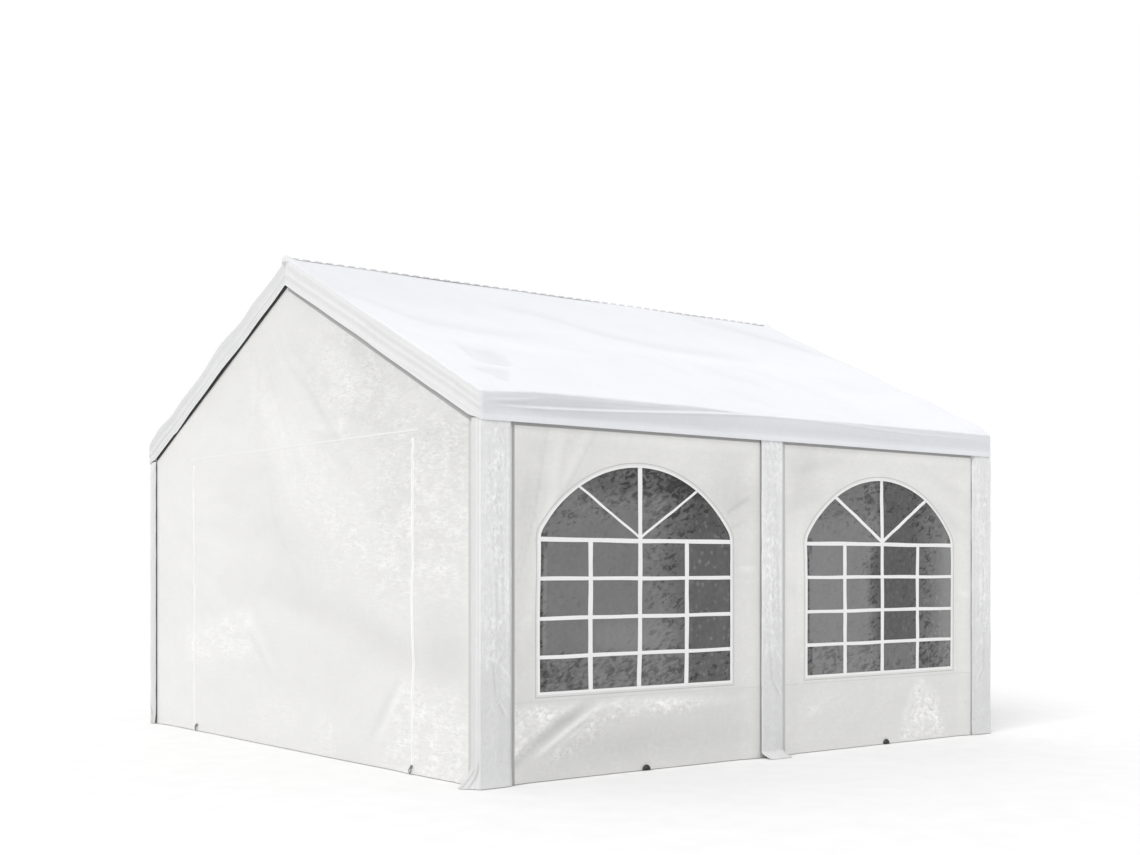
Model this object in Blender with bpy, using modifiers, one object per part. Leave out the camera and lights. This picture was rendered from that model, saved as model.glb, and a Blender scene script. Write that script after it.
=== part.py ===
"""Gabled marquee tent: a plugged tube frame under a roof cover with leg sleeves, walls, doors and windows.

Metres, +Z up. The origin is on the ground in the middle of the tent. The front gable faces -Y, and left
and right are -X and +X.
"""

import math

import bpy
import bmesh
from mathutils import Matrix, Vector

# Outer size of the covered tent
WIDTH = 4.0
LENGTH = 4.0
EAVE_HEIGHT = 1.92
RIDGE_HEIGHT = 2.88

# Fabric, modelled thicker than the cloth
COVER_THICKNESS = 0.005
WALL_THICKNESS = 0.004
FILM_THICKNESS = 0.002
GROUND_CLEARANCE = 0.003

# Roof cover
VALANCE_DEPTH = 0.14
RAKE_BAND_DEPTH = 0.142
CORNER_SLEEVE_ON_SIDE = 0.19
CORNER_SLEEVE_ON_GABLE = 0.091
MIDDLE_SLEEVE_WIDTH = 0.178

# Walls, hung this far behind the cover's inner face
WALL_SETBACK = 0.025
WALL_TO_COVER = 0.004
DOOR_WIDTH = 2.68
DOOR_HEIGHT = 1.775

# Arched windows
WINDOW_CENTRE_Y = 0.965
WINDOW_WIDTH = 1.316
WINDOW_SILL_HEIGHT = 0.445
WINDOW_SPRING_HEIGHT = 1.208
WINDOW_CROWN_HEIGHT = 1.58
WINDOW_SHOULDER_RADIUS = 0.10
ARCH_SEGMENTS = 8
FILM_OVERLAP = 0.018

# Tube frame
TUBE_RADIUS = 0.019
TUBE_WALL = 0.002
TUBE_SIDES = 24
HUB_RADIUS = 0.0193
ARM_RADIUS = 0.0182
ARM_LENGTH = 0.045
SPIGOT_RADIUS = 0.0166
SPIGOT_LENGTH = 0.105
FITTING_SIDES = 16

# Feet
PLATE_SIZE = 0.10
PLATE_THICKNESS = 0.004
FOOT_SPIGOT_LENGTH = 0.06
PEG_HOLE_RADIUS = 0.006
PEG_HOLE_INSET = 0.018

# Clearance between pieces that touch
SEAT = 0.0003
REST_GAP = 0.0005

# How far a cutter runs past what it cuts, and how near two points of an outline's mesh are one
CUT_PAST = 0.1
MERGE_DISTANCE = 0.00001

# Worked out from the sizes above
SLOPE = math.atan2(RIDGE_HEIGHT - EAVE_HEIGHT, WIDTH / 2)
WALL_OUTER_X = WIDTH / 2 - COVER_THICKNESS - WALL_SETBACK
WALL_OUTER_Y = LENGTH / 2 - COVER_THICKNESS - WALL_SETBACK
POST_X = WALL_OUTER_X - WALL_THICKNESS - REST_GAP - TUBE_RADIUS
POST_Y = WALL_OUTER_Y - WALL_THICKNESS - REST_GAP - TUBE_RADIUS
SLEEVE_TOP = EAVE_HEIGHT - VALANCE_DEPTH

SIDES = (("left", -1), ("right", 1))
ENDS = (("front", -1), ("rear", 1))
FRAMES = (("front", -POST_Y), ("middle", 0.0), ("rear", POST_Y))

STEEL = ((0.62, 0.64, 0.66), 0.35, 1.0)
WHITE_COVER = ((0.93, 0.94, 0.96), 0.45, 0.0)
WHITE_WALL = ((0.86, 0.86, 0.85), 0.5, 0.0)
WHITE_SLEEVE = ((0.82, 0.83, 0.84), 0.45, 0.0)
WINDOW_FILM = ((0.12, 0.12, 0.12), 0.15, 0.0)

# Plane of a flat outline: across the tent (x, z), along it (y, z) or on plan (x, y)
GABLE_PLANE = Matrix.Rotation(math.pi / 2, 4, "X")
SIDE_PLANE = Matrix.Rotation(math.pi / 2, 4, "Z") @ Matrix.Rotation(math.pi / 2, 4, "X")
PLAN_PLANE = Matrix.Identity(4)


def roof_height(x, depth=0.0):
    """Height of the roof cover at x, or of a surface that lies depth under it, square to the slope."""
    return RIDGE_HEIGHT - abs(x) * math.tan(SLOPE) - depth / math.cos(SLOPE)


def clear_scene():
    for obj in list(bpy.data.objects):
        bpy.data.objects.remove(obj, do_unlink=True)


def new_collection(name):
    collection = bpy.data.collections.new(name)
    bpy.context.scene.collection.children.link(collection)
    return collection


def material(name, finish):
    colour, roughness, metallic = finish
    made = bpy.data.materials.new(name)
    made.use_nodes = True
    shader = made.node_tree.nodes["Principled BSDF"]
    shader.inputs["Base Color"].default_value = (*colour, 1.0)
    shader.inputs["Roughness"].default_value = roughness
    shader.inputs["Metallic"].default_value = metallic
    return made


class Workshop:
    """Holds the collections and makes the tent's pieces in them."""

    def __init__(self):
        self.pieces = new_collection("marquee_tent")
        self.cutters = new_collection("cutters")
        self.root = bpy.data.objects.new("marquee_tent_origin", None)
        self.pieces.objects.link(self.root)

    def finish_piece(self, obj, name, finish):
        """Names a piece, gives it its material and hangs it on the tent's origin."""
        obj.name = obj.data.name = name
        obj.data.materials.clear()
        obj.data.materials.append(material(name, finish))
        obj.parent = self.root
        return obj

    def mesh_object(self, name, fill, place, collection):
        """A mesh object that fill(bm) makes in its own space, put at place."""
        mesh = bpy.data.meshes.new(name)
        bm = bmesh.new()
        fill(bm)
        bm.to_mesh(mesh)
        bm.free()
        obj = bpy.data.objects.new(name, mesh)
        obj.matrix_world = place
        collection.objects.link(obj)
        return obj

    def helper(self, obj):
        """Makes an object a cutter or a part to join: seen as wire and left out of the tent."""
        obj.hide_render = True
        obj.display_type = "WIRE"
        return obj

    def boolean(self, obj, other, operation):
        modifier = obj.modifiers.new(other.name, "BOOLEAN")
        modifier.operation = operation
        modifier.solver = "EXACT"
        modifier.object = other

    def cylinder(self, name, start, end, radius, sides, capped, collection):
        along = Vector(end) - Vector(start)
        turn = along.to_track_quat("Z", "Y").to_matrix().to_4x4()
        place = Matrix.Translation((Vector(start) + Vector(end)) / 2) @ turn

        def fill(bm):
            bmesh.ops.create_cone(
                bm,
                cap_ends=capped,
                segments=sides,
                radius1=radius,
                radius2=radius,
                depth=along.length,
            )

        return self.mesh_object(name, fill, place, collection)

    def box(self, name, low, high, collection):
        size = [high[k] - low[k] for k in range(3)]
        centre = [(high[k] + low[k]) / 2 for k in range(3)]

        def fill(bm):
            bmesh.ops.create_cube(bm, size=1.0, matrix=Matrix.Diagonal((*size, 1.0)))

        return self.mesh_object(name, fill, Matrix.Translation(centre), collection)

    def flat_outline(self, name, outlines, plane, offset, thickness, collection):
        """A plate cut to flat outlines, the later ones being holes, centred offset along its plane's normal."""
        curve = bpy.data.curves.new(name, "CURVE")
        curve.dimensions = "2D"
        curve.fill_mode = "BOTH"
        curve.extrude = thickness / 2
        for points in outlines:
            spline = curve.splines.new("POLY")
            spline.points.add(len(points) - 1)
            for point, (u, v) in zip(spline.points, points):
                point.co = (u, v, 0.0, 1.0)
            spline.use_cyclic_u = True
        drawn = bpy.data.objects.new(name, curve)
        drawn.matrix_world = plane @ Matrix.Translation((0, 0, offset))
        collection.objects.link(drawn)
        graph = bpy.context.evaluated_depsgraph_get()
        mesh = bpy.data.meshes.new_from_object(drawn.evaluated_get(graph))
        bm = bmesh.new()
        bm.from_mesh(mesh)
        bmesh.ops.remove_doubles(bm, verts=bm.verts, dist=MERGE_DISTANCE)
        bm.to_mesh(mesh)
        bm.free()
        made = bpy.data.objects.new(name, mesh)
        made.matrix_world = drawn.matrix_world.copy()
        collection.objects.link(made)
        bpy.data.objects.remove(drawn, do_unlink=True)
        return made

    def tube(self, name, start, end):
        """A hollow tube, open at both ends."""
        obj = self.cylinder(name, start, end, TUBE_RADIUS, TUBE_SIDES, False, self.pieces)
        wall = obj.modifiers.new("wall", "SOLIDIFY")
        wall.thickness = TUBE_WALL
        wall.offset = -1.0
        obj.data.shade_smooth()
        return obj


def plugged(start, end, shorten_start=ARM_LENGTH + SEAT, shorten_end=ARM_LENGTH + SEAT):
    """The ends of a tube that runs between two fittings and stops at the shoulders of their arms."""
    start, end = Vector(start), Vector(end)
    along = (end - start).normalized()
    return start + along * shorten_start, end - along * shorten_end


def eave_point(side, y):
    return Vector((side * POST_X, y, roof_height(POST_X, COVER_THICKNESS + REST_GAP + TUBE_RADIUS)))


def ridge_point(y):
    return Vector((0.0, y, roof_height(0.0, COVER_THICKNESS + REST_GAP + TUBE_RADIUS)))


def build_feet(shop):
    """A foot is an off-centre plate with a spigot that plugs into the post and two peg holes on its inner edge."""
    for side_name, side in SIDES:
        for frame_name, y in FRAMES:
            name = f"foot_{frame_name}_{side_name}"
            outer_x = side * (WALL_OUTER_X - WALL_THICKNESS - SEAT)
            inner_x = outer_x - side * PLATE_SIZE
            outer_y = math.copysign(WALL_OUTER_Y - WALL_THICKNESS - SEAT, y)
            middle_y = outer_y - math.copysign(PLATE_SIZE / 2, y) if y else 0.0
            foot = shop.box(
                name,
                (min(inner_x, outer_x), middle_y - PLATE_SIZE / 2, 0.0),
                (max(inner_x, outer_x), middle_y + PLATE_SIZE / 2, PLATE_THICKNESS),
                shop.pieces,
            )
            spigot = shop.cylinder(
                name + "_spigot",
                (side * POST_X, y, PLATE_THICKNESS / 2),
                (side * POST_X, y, PLATE_THICKNESS + FOOT_SPIGOT_LENGTH),
                SPIGOT_RADIUS,
                FITTING_SIDES,
                True,
                shop.cutters,
            )
            shop.boolean(foot, shop.helper(spigot), "UNION")
            for end in (-1, 1):
                hole_x = inner_x + side * PEG_HOLE_INSET
                hole_y = middle_y + end * (PLATE_SIZE / 2 - PEG_HOLE_INSET)
                hole = shop.cylinder(
                    f"{name}_peg_hole_{end}",
                    (hole_x, hole_y, -PLATE_THICKNESS),
                    (hole_x, hole_y, 2 * PLATE_THICKNESS),
                    PEG_HOLE_RADIUS,
                    FITTING_SIDES,
                    True,
                    shop.cutters,
                )
                shop.boolean(foot, shop.helper(hole), "DIFFERENCE")
            shop.finish_piece(foot, name, STEEL)


def build_posts(shop):
    """A post is a tube that stands on its foot plate, round the spigot."""
    for side_name, side in SIDES:
        for frame_name, y in FRAMES:
            name = f"post_{frame_name}_{side_name}"
            top = eave_point(side, y)
            foot = Vector((top.x, top.y, PLATE_THICKNESS + SEAT))
            post = shop.tube(name, *plugged(foot, top, shorten_start=0.0))
            shop.finish_piece(post, name, STEEL)


def build_rails_and_rafters(shop):
    spans = (("front", -POST_Y, 0.0), ("rear", 0.0, POST_Y))
    for span_name, start_y, end_y in spans:
        for side_name, side in SIDES:
            ends = plugged(eave_point(side, start_y), eave_point(side, end_y))
            name = f"eave_rail_{side_name}_{span_name}"
            shop.finish_piece(shop.tube(name, *ends), name, STEEL)
        name = f"ridge_rail_{span_name}"
        ends = plugged(ridge_point(start_y), ridge_point(end_y))
        shop.finish_piece(shop.tube(name, *ends), name, STEEL)
    for frame_name, y in FRAMES:
        for side_name, side in SIDES:
            name = f"rafter_{frame_name}_{side_name}"
            ends = plugged(eave_point(side, y), ridge_point(y))
            shop.finish_piece(shop.tube(name, *ends), name, STEEL)


def build_connector(shop, name, centre, directions):
    """A ball with one shouldered arm for each tube: the arm's spigot goes inside the tube."""

    def ball(bm):
        bmesh.ops.create_uvsphere(bm, u_segments=FITTING_SIDES, v_segments=FITTING_SIDES // 2, radius=HUB_RADIUS)

    hub = shop.mesh_object(name, ball, Matrix.Translation(centre), shop.pieces)
    for number, direction in enumerate(directions):
        along = Vector(direction).normalized()
        for kind, radius, reach in (
            ("arm", ARM_RADIUS, ARM_LENGTH),
            ("spigot", SPIGOT_RADIUS, SPIGOT_LENGTH),
        ):
            stub = shop.cylinder(
                f"{name}_{kind}_{number}",
                centre,
                centre + along * reach,
                radius,
                FITTING_SIDES,
                True,
                shop.cutters,
            )
            shop.boolean(hub, shop.helper(stub), "UNION")
    shop.finish_piece(hub, name, STEEL)


def build_connectors(shop):
    down = (0, 0, -1)
    lengthways = {"front": ((0, 1, 0),), "middle": ((0, -1, 0), (0, 1, 0)), "rear": ((0, -1, 0),)}
    for frame_name, y in FRAMES:
        for side_name, side in SIDES:
            up_the_slope = (-side * math.cos(SLOPE), 0, math.sin(SLOPE))
            name = f"eave_connector_{frame_name}_{side_name}"
            directions = (down, up_the_slope, *lengthways[frame_name])
            build_connector(shop, name, eave_point(side, y), directions)
        down_both_slopes = [(side * math.cos(SLOPE), 0, -math.sin(SLOPE)) for _, side in SIDES]
        name = f"ridge_connector_{frame_name}"
        build_connector(shop, name, ridge_point(y), (*down_both_slopes, *lengthways[frame_name]))


def gable_outline(half_width, base, depth):
    """A house-shaped outline under the roof: its slopes lie depth under the roof cover."""
    shoulder = roof_height(half_width, depth)
    return [
        (-half_width, base),
        (half_width, base),
        (half_width, shoulder),
        (0.0, roof_height(0.0, depth)),
        (-half_width, shoulder),
    ]


def build_roof_cover(shop):
    """One sewn cover: two slopes, a valance on each side and a rake band on each gable."""
    below = SLEEVE_TOP - CUT_PAST
    cover = shop.flat_outline(
        "roof_cover",
        [gable_outline(WIDTH / 2, SLEEVE_TOP, 0.0)],
        GABLE_PLANE,
        0.0,
        LENGTH,
        shop.pieces,
    )
    inside = shop.flat_outline(
        "roof_cover_inside",
        [gable_outline(WIDTH / 2 - COVER_THICKNESS, below, COVER_THICKNESS)],
        GABLE_PLANE,
        0.0,
        LENGTH - 2 * COVER_THICKNESS,
        shop.cutters,
    )
    between_bands = shop.flat_outline(
        "roof_cover_gable_opening",
        [gable_outline(WIDTH / 2 - CORNER_SLEEVE_ON_GABLE, below, RAKE_BAND_DEPTH)],
        GABLE_PLANE,
        0.0,
        LENGTH + CUT_PAST,
        shop.cutters,
    )
    for cutter in (inside, between_bands):
        shop.boolean(cover, shop.helper(cutter), "DIFFERENCE")
    shop.finish_piece(cover, "roof_cover", WHITE_COVER)


def build_sleeves(shop):
    """Leg sleeves sewn to the cover's lower edge: an angle at each corner and a flat strip half way."""
    top, base = SLEEVE_TOP - SEAT, GROUND_CLEARANCE
    middle_height, height = (top + base) / 2, top - base
    for side_name, side in SIDES:
        for end_name, end in ENDS:
            x, y = side * WIDTH / 2, end * LENGTH / 2
            inner_x, inner_y = x - side * COVER_THICKNESS, y - end * COVER_THICKNESS
            gable_edge_x = x - side * CORNER_SLEEVE_ON_GABLE
            side_edge_y = y - end * CORNER_SLEEVE_ON_SIDE
            outline = [
                (x, y),
                (x, side_edge_y),
                (inner_x, side_edge_y),
                (inner_x, inner_y),
                (gable_edge_x, inner_y),
                (gable_edge_x, y),
            ]
            name = f"corner_sleeve_{end_name}_{side_name}"
            sleeve = shop.flat_outline(name, [outline], PLAN_PLANE, middle_height, height, shop.pieces)
            shop.finish_piece(sleeve, name, WHITE_SLEEVE)
        name = f"middle_sleeve_{side_name}"
        edges = sorted((side * WIDTH / 2, side * (WIDTH / 2 - COVER_THICKNESS)))
        sleeve = shop.box(
            name,
            (edges[0], -MIDDLE_SLEEVE_WIDTH / 2, base),
            (edges[1], MIDDLE_SLEEVE_WIDTH / 2, top),
            shop.pieces,
        )
        shop.finish_piece(sleeve, name, WHITE_SLEEVE)


def build_gable_walls(shop):
    """Each gable wall is cut out for a wide door panel, which is zipped in at both sides."""
    half_width = WALL_OUTER_X
    half_door = DOOR_WIDTH / 2
    head = DOOR_HEIGHT
    shoulder = roof_height(half_width, COVER_THICKNESS + WALL_TO_COVER)
    peak = roof_height(0.0, COVER_THICKNESS + WALL_TO_COVER)
    outline = [
        (-half_width, GROUND_CLEARANCE),
        (-half_door, GROUND_CLEARANCE),
        (-half_door, head),
        (half_door, head),
        (half_door, GROUND_CLEARANCE),
        (half_width, GROUND_CLEARANCE),
        (half_width, shoulder),
        (0.0, peak),
        (-half_width, shoulder),
    ]
    for end_name, end in ENDS:
        middle_y = end * (WALL_OUTER_Y - WALL_THICKNESS / 2)
        name = f"gable_wall_{end_name}"
        wall = shop.flat_outline(name, [outline], GABLE_PLANE, -middle_y, WALL_THICKNESS, shop.pieces)
        shop.finish_piece(wall, name, WHITE_WALL)
        name = f"door_panel_{end_name}"
        panel = shop.box(
            name,
            (-half_door + SEAT, middle_y - WALL_THICKNESS / 2, GROUND_CLEARANCE),
            (half_door - SEAT, middle_y + WALL_THICKNESS / 2, head - SEAT),
            shop.pieces,
        )
        shop.finish_piece(panel, name, WHITE_WALL)


def arc(centre, radius, start, end):
    """Points from one angle to another, both included."""
    angles = [start + (end - start) * k / ARCH_SEGMENTS for k in range(ARCH_SEGMENTS + 1)]
    return [(centre[0] + radius * math.cos(a), centre[1] + radius * math.sin(a)) for a in angles]


def window_outline(centre_y, margin=0.0):
    """An arched window with tight shoulders under a flatter crown, or the line that runs margin outside it."""
    half = WINDOW_WIDTH / 2
    rise = WINDOW_CROWN_HEIGHT - WINDOW_SPRING_HEIGHT
    tight = WINDOW_SHOULDER_RADIUS
    crown = (half**2 + rise**2 - 2 * half * tight) / (2 * (rise - tight))
    crown_centre = WINDOW_CROWN_HEIGHT - crown
    lean = math.atan2(WINDOW_SPRING_HEIGHT - crown_centre, half - tight)
    right = arc((centre_y + half - tight, WINDOW_SPRING_HEIGHT), tight + margin, 0.0, lean)
    middle = arc((centre_y, crown_centre), crown + margin, lean, math.pi - lean)
    left = arc((centre_y - half + tight, WINDOW_SPRING_HEIGHT), tight + margin, math.pi - lean, math.pi)
    base = WINDOW_SILL_HEIGHT - margin
    return [
        (centre_y - half - margin, base),
        (centre_y + half + margin, base),
        *right,
        *middle[1:-1],
        *left,
    ]


def build_side_walls(shop):
    """Two bays on each side, each with an arched cut-out and a film that closes it from inside."""
    top = roof_height(WALL_OUTER_X, COVER_THICKNESS + WALL_TO_COVER)
    corner_y = WALL_OUTER_Y - WALL_THICKNESS - SEAT
    for side_name, side in SIDES:
        wall_x = side * (WALL_OUTER_X - WALL_THICKNESS / 2)
        film_x = side * (WALL_OUTER_X - WALL_THICKNESS - SEAT - FILM_THICKNESS / 2)
        for end_name, end in ENDS:
            near, far = sorted((end * SEAT / 2, end * corner_y))
            rectangle = [(near, GROUND_CLEARANCE), (far, GROUND_CLEARANCE), (far, top), (near, top)]
            centre_y = end * WINDOW_CENTRE_Y
            name = f"side_wall_{side_name}_{end_name}"
            wall = shop.flat_outline(
                name,
                [rectangle, window_outline(centre_y)],
                SIDE_PLANE,
                wall_x,
                WALL_THICKNESS,
                shop.pieces,
            )
            shop.finish_piece(wall, name, WHITE_WALL)
            name = f"window_film_{side_name}_{end_name}"
            film = shop.flat_outline(
                name,
                [window_outline(centre_y, FILM_OVERLAP)],
                SIDE_PLANE,
                film_x,
                FILM_THICKNESS,
                shop.pieces,
            )
            shop.finish_piece(film, name, WINDOW_FILM)


def main():
    clear_scene()
    shop = Workshop()
    build_feet(shop)
    build_posts(shop)
    build_rails_and_rafters(shop)
    build_connectors(shop)
    build_roof_cover(shop)
    build_sleeves(shop)
    build_gable_walls(shop)
    build_side_walls(shop)


main()
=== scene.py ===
"""Marquee tent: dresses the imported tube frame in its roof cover, leg sleeves, walls, doors and windows.

Metres, +Z up. The front gable faces -Y, and left and right are -X and +X. Each face of the tent has its own
flat coordinates: u runs to the right as seen from outside, z is the height, and out is the distance in front
of the wall.
"""

import math
import random

import bpy
import numpy as np
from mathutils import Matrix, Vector


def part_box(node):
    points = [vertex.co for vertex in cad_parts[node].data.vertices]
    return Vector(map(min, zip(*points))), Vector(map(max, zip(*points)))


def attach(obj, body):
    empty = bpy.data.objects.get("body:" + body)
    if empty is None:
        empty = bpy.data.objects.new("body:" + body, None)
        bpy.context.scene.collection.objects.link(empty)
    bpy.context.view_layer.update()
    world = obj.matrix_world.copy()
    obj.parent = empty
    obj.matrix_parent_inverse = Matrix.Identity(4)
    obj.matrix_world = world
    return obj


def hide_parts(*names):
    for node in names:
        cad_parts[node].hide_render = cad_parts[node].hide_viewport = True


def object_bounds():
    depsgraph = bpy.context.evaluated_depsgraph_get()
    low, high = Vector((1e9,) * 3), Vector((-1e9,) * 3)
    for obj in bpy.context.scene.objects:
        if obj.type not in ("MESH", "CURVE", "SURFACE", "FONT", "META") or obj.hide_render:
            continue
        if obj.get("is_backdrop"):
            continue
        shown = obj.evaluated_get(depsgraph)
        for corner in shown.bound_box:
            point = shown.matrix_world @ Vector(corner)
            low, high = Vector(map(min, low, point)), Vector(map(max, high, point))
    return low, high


bl_info = {
    "name": "Marquee Tent",
    "version": (1, 0, 0),
    "blender": (4, 5, 0),
    "location": "3D View > Sidebar > Marquee",
    "description": "Dresses the marquee's frame in its cover, walls, doors and windows, and sets up its studio",
    "category": "Add Mesh",
}

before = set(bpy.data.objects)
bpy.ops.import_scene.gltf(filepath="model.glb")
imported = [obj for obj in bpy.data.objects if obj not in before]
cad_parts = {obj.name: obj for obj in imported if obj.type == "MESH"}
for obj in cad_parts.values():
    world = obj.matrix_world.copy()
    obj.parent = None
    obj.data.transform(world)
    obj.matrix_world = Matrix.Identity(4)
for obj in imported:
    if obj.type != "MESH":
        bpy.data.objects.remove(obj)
CAD_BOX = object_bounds()

# Sizes read from the frame
COVER_LOW, COVER_HIGH = (Vector(corner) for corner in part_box("roof_cover"))
HALF_WIDTH = COVER_HIGH.x
HALF_LENGTH = COVER_HIGH.y
RIDGE_HEIGHT = COVER_HIGH.z
SLEEVE_TOP = COVER_LOW.z
WALL_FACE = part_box("side_wall_right_front")[1][0]
WALL_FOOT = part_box("side_wall_right_front")[0][2]
DOOR_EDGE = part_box("door_panel_front")[1][0]
DOOR_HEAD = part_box("door_panel_front")[1][2]
SLEEVE_EDGE_ON_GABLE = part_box("corner_sleeve_front_left")[1][0] + HALF_WIDTH
SLEEVE_EDGE_ON_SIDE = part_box("corner_sleeve_front_left")[1][1] + HALF_LENGTH
MIDDLE_SLEEVE_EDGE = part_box("middle_sleeve_right")[1][1]

# Sizes that the frame doesn't give by themselves
EAVE_HEIGHT = 1.92
BAND_DEPTH = 0.142
SEAM_HEIGHT = 0.398
WINDOW_CENTRE = 0.965
WINDOW_HALF = 0.658
WINDOW_SILL = 0.445
WINDOW_SPRING = 1.208
WINDOW_CROWN = 1.592
WINDOW_SHOULDER = 0.10
CROSS_BARS = (0.62, 0.813, 1.012)
UPRIGHT_OFFSET = 0.333

SLOPE = math.atan2(RIDGE_HEIGHT - EAVE_HEIGHT, HALF_WIDTH)
SLOPE_LENGTH = math.hypot(RIDGE_HEIGHT - EAVE_HEIGHT, HALF_WIDTH)
VALANCE_DEPTH = EAVE_HEIGHT - SLEEVE_TOP
CLOTH_THICKNESS = 0.0015
WALL_UNDER_ROOF = 0.0095
DOOR_GAP = 0.0004
SLEEVE_TUCK = 0.014
FILM_MARGIN = 0.016
FILM_OUT = -CLOTH_THICKNESS - 0.0012
ZIP_TOP = 1.738
TOOTH_PITCH = 0.0064
EYELET_RADIUS = 0.021

# Radii of the folded edges
EAVE_RADIUS = 0.018
RIDGE_RADIUS = 0.03
GABLE_RADIUS = 0.015
SLEEVE_RADIUS = 0.013

# Columns and rows of a gable's grid, with the ones along the door's edges and head
GABLE_COLUMNS = 164
DOOR_COLUMNS = (26, 138)
GABLE_ROWS = 118
DOOR_ROWS = 74

# The photograph's camera
CAMERA_PLACE = (7.9277, -6.1125, 1.0627)
CAMERA_TURN = 0.9049
CAMERA_LENS = 47.36
CAMERA_SHIFT = 0.1237

# Kinds of panel in the roof cover, kept in its "lay" attribute
SLOPE_PANEL = 0.0
VALANCE_PANEL = 1.0
BAND_PANEL = 2.0


def roof_height(x, depth=0.0):
    """Height of the roof's outer face at x, or of a surface depth under it."""
    return RIDGE_HEIGHT - np.abs(x) * math.tan(SLOPE) - depth / math.cos(SLOPE)


class Face:
    """One side of the tent and its flat coordinates."""

    def __init__(self, name, quarters, seed, mirrored):
        self.name = name
        self.cos = round(math.cos(quarters * math.pi / 2))
        self.sin = round(math.sin(quarters * math.pi / 2))
        self.seed = seed
        self.mirrored = mirrored

    def place(self, u, z, out, base=WALL_FACE):
        """Points in space for the face's own coordinates."""
        x, y = u, -(base + out)
        return np.stack([x * self.cos - y * self.sin, x * self.sin + y * self.cos, z + 0.0 * u], axis=1)

    def local(self, points):
        """The u and z of points in space."""
        x, y, z = points.T
        return x * self.cos + y * self.sin, z


FRONT = Face("front", 0, 1, False)
RIGHT = Face("right", 1, 2, False)
REAR = Face("rear", 2, 3, True)
LEFT = Face("left", 3, 4, True)


# Shapes of folds

def fade(t):
    """A soft step: 0 up to t = 0, and 1 from t = 1."""
    t = np.clip(t, 0.0, 1.0)
    return t * t * (3.0 - 2.0 * t)


def stroke(u, v, start, end, width, height, bow=0.0):
    """A soft ridge along a line, or a valley where height is negative, that dies out at both ends."""
    along = np.subtract(end, start)
    length = np.hypot(*along)
    du, dv = u - start[0], v - start[1]
    t = np.clip((du * along[0] + dv * along[1]) / length**2, 0.0, 1.0)
    off = (dv * along[0] - du * along[1]) / length - bow * 4.0 * t * (1.0 - t)
    return height * np.sin(np.pi * t) ** 0.6 * np.exp(-((off / width) ** 2))


def crease(u, v, stops, line, width, height):
    """A soft ridge or valley along a curve over u, which dies out at both ends."""
    t = np.clip((u - stops[0]) / (stops[-1] - stops[0]), 0.0, 1.0)
    return height * np.sin(np.pi * t) ** 0.6 * np.exp(-(((v - np.interp(u, stops, line)) / width) ** 2))


def between(u, v, stops, lows, highs, soft):
    """1 well between two curves over u, and 0 outside them."""
    return fade(np.minimum(v - np.interp(u, stops, lows), np.interp(u, stops, highs) - v) / soft)


def oval(u, v, centre, reach, turn=0.0):
    """1 in the middle of an oval, falling softly to 0 at its rim."""
    du, dv = u - centre[0], v - centre[1]
    a = (du * math.cos(turn) + dv * math.sin(turn)) / reach[0]
    b = (dv * math.cos(turn) - du * math.sin(turn)) / reach[1]
    return fade(1.25 * (1.0 - np.hypot(a, b)))


def patch(u, v, corners, soft):
    """1 inside a shape with straight sides, its corners given anticlockwise, falling softly to 0 at its rim."""
    inside = np.full_like(u, 9.0)
    for (u0, v0), (u1, v1) in zip(corners, corners[1:] + corners[:1]):
        from_side = ((u1 - u0) * (v - v0) - (v1 - v0) * (u - u0)) / math.hypot(u1 - u0, v1 - v0)
        inside = np.minimum(inside, from_side)
    return fade(inside / soft)


def facets(u, v, seed, size, height):
    """Flat facets that meet in creases, about size across, as in coated cloth that was folded away."""
    chance = random.Random(seed)
    bent_u = u + 0.4 * size * np.sin(1.7 * v / size + seed)
    bent_v = v + 0.4 * size * np.sin(1.3 * u / size + 2.0 * seed)
    total = np.zeros_like(u)
    for _ in range(8):
        angle = chance.uniform(0.0, math.pi)
        step = size * chance.uniform(1.3, 3.1)
        phase = (bent_u * math.cos(angle) + bent_v * math.sin(angle)) / step + chance.random()
        total += 4.0 * np.abs(phase - np.round(phase)) - 1.0
    return height * total / 3.0


def fan(u, v, centre, span, count, seed):
    """Uneven folds that spread out from a point, between two directions in radians."""
    chance = random.Random(seed)
    du, dv = u - centre[0], v - centre[1]
    reach = np.hypot(du, dv)
    swing = np.arctan2(dv, du) + 0.05 * np.sin(3.0 * reach + seed) + 0.02 * np.sin(8.0 * reach)
    total = np.zeros_like(u)
    for number in range(count):
        middle = span[0] + (span[1] - span[0]) * (number + chance.uniform(0.1, 0.9)) / count
        width = (span[1] - span[0]) / count * chance.uniform(0.22, 0.5)
        near, far = chance.uniform(0.2, 0.9), chance.uniform(1.4, 2.8)
        along = fade((reach - near) / 0.3) * fade((far - reach) / 0.7)
        total += chance.choice((-1.0, -0.7, 0.8, 1.0)) * along * np.exp(-(((swing - middle) / width) ** 2))
    return total


def ragged(mask, u, v, seed, size=0.09):
    """Breaks up the soft rim of a patch into flecks."""
    return fade(1.35 * mask - 0.10 + facets(u, v, seed, size, 0.32) * np.minimum(3.0 * mask, 1.0))


def crowded(t, crowd):
    """Spreads steps from 0 to 1 so that they crowd together at both ends."""
    return t - crowd * np.sin(2.0 * np.pi * t) / (2.0 * np.pi)


def rounding(distance, radius, turn):
    """How far a point near a folded edge lies from that edge along its face, and how far inwards."""
    reach = radius * math.tan(turn / 2.0)
    swing = np.clip(1.0 - distance / reach, 0.0, 1.0) * turn / 2.0
    along = np.where(distance < reach, reach - radius * np.sin(swing), distance)
    return along, radius * (1.0 - np.cos(swing))


# Blender helpers

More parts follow.
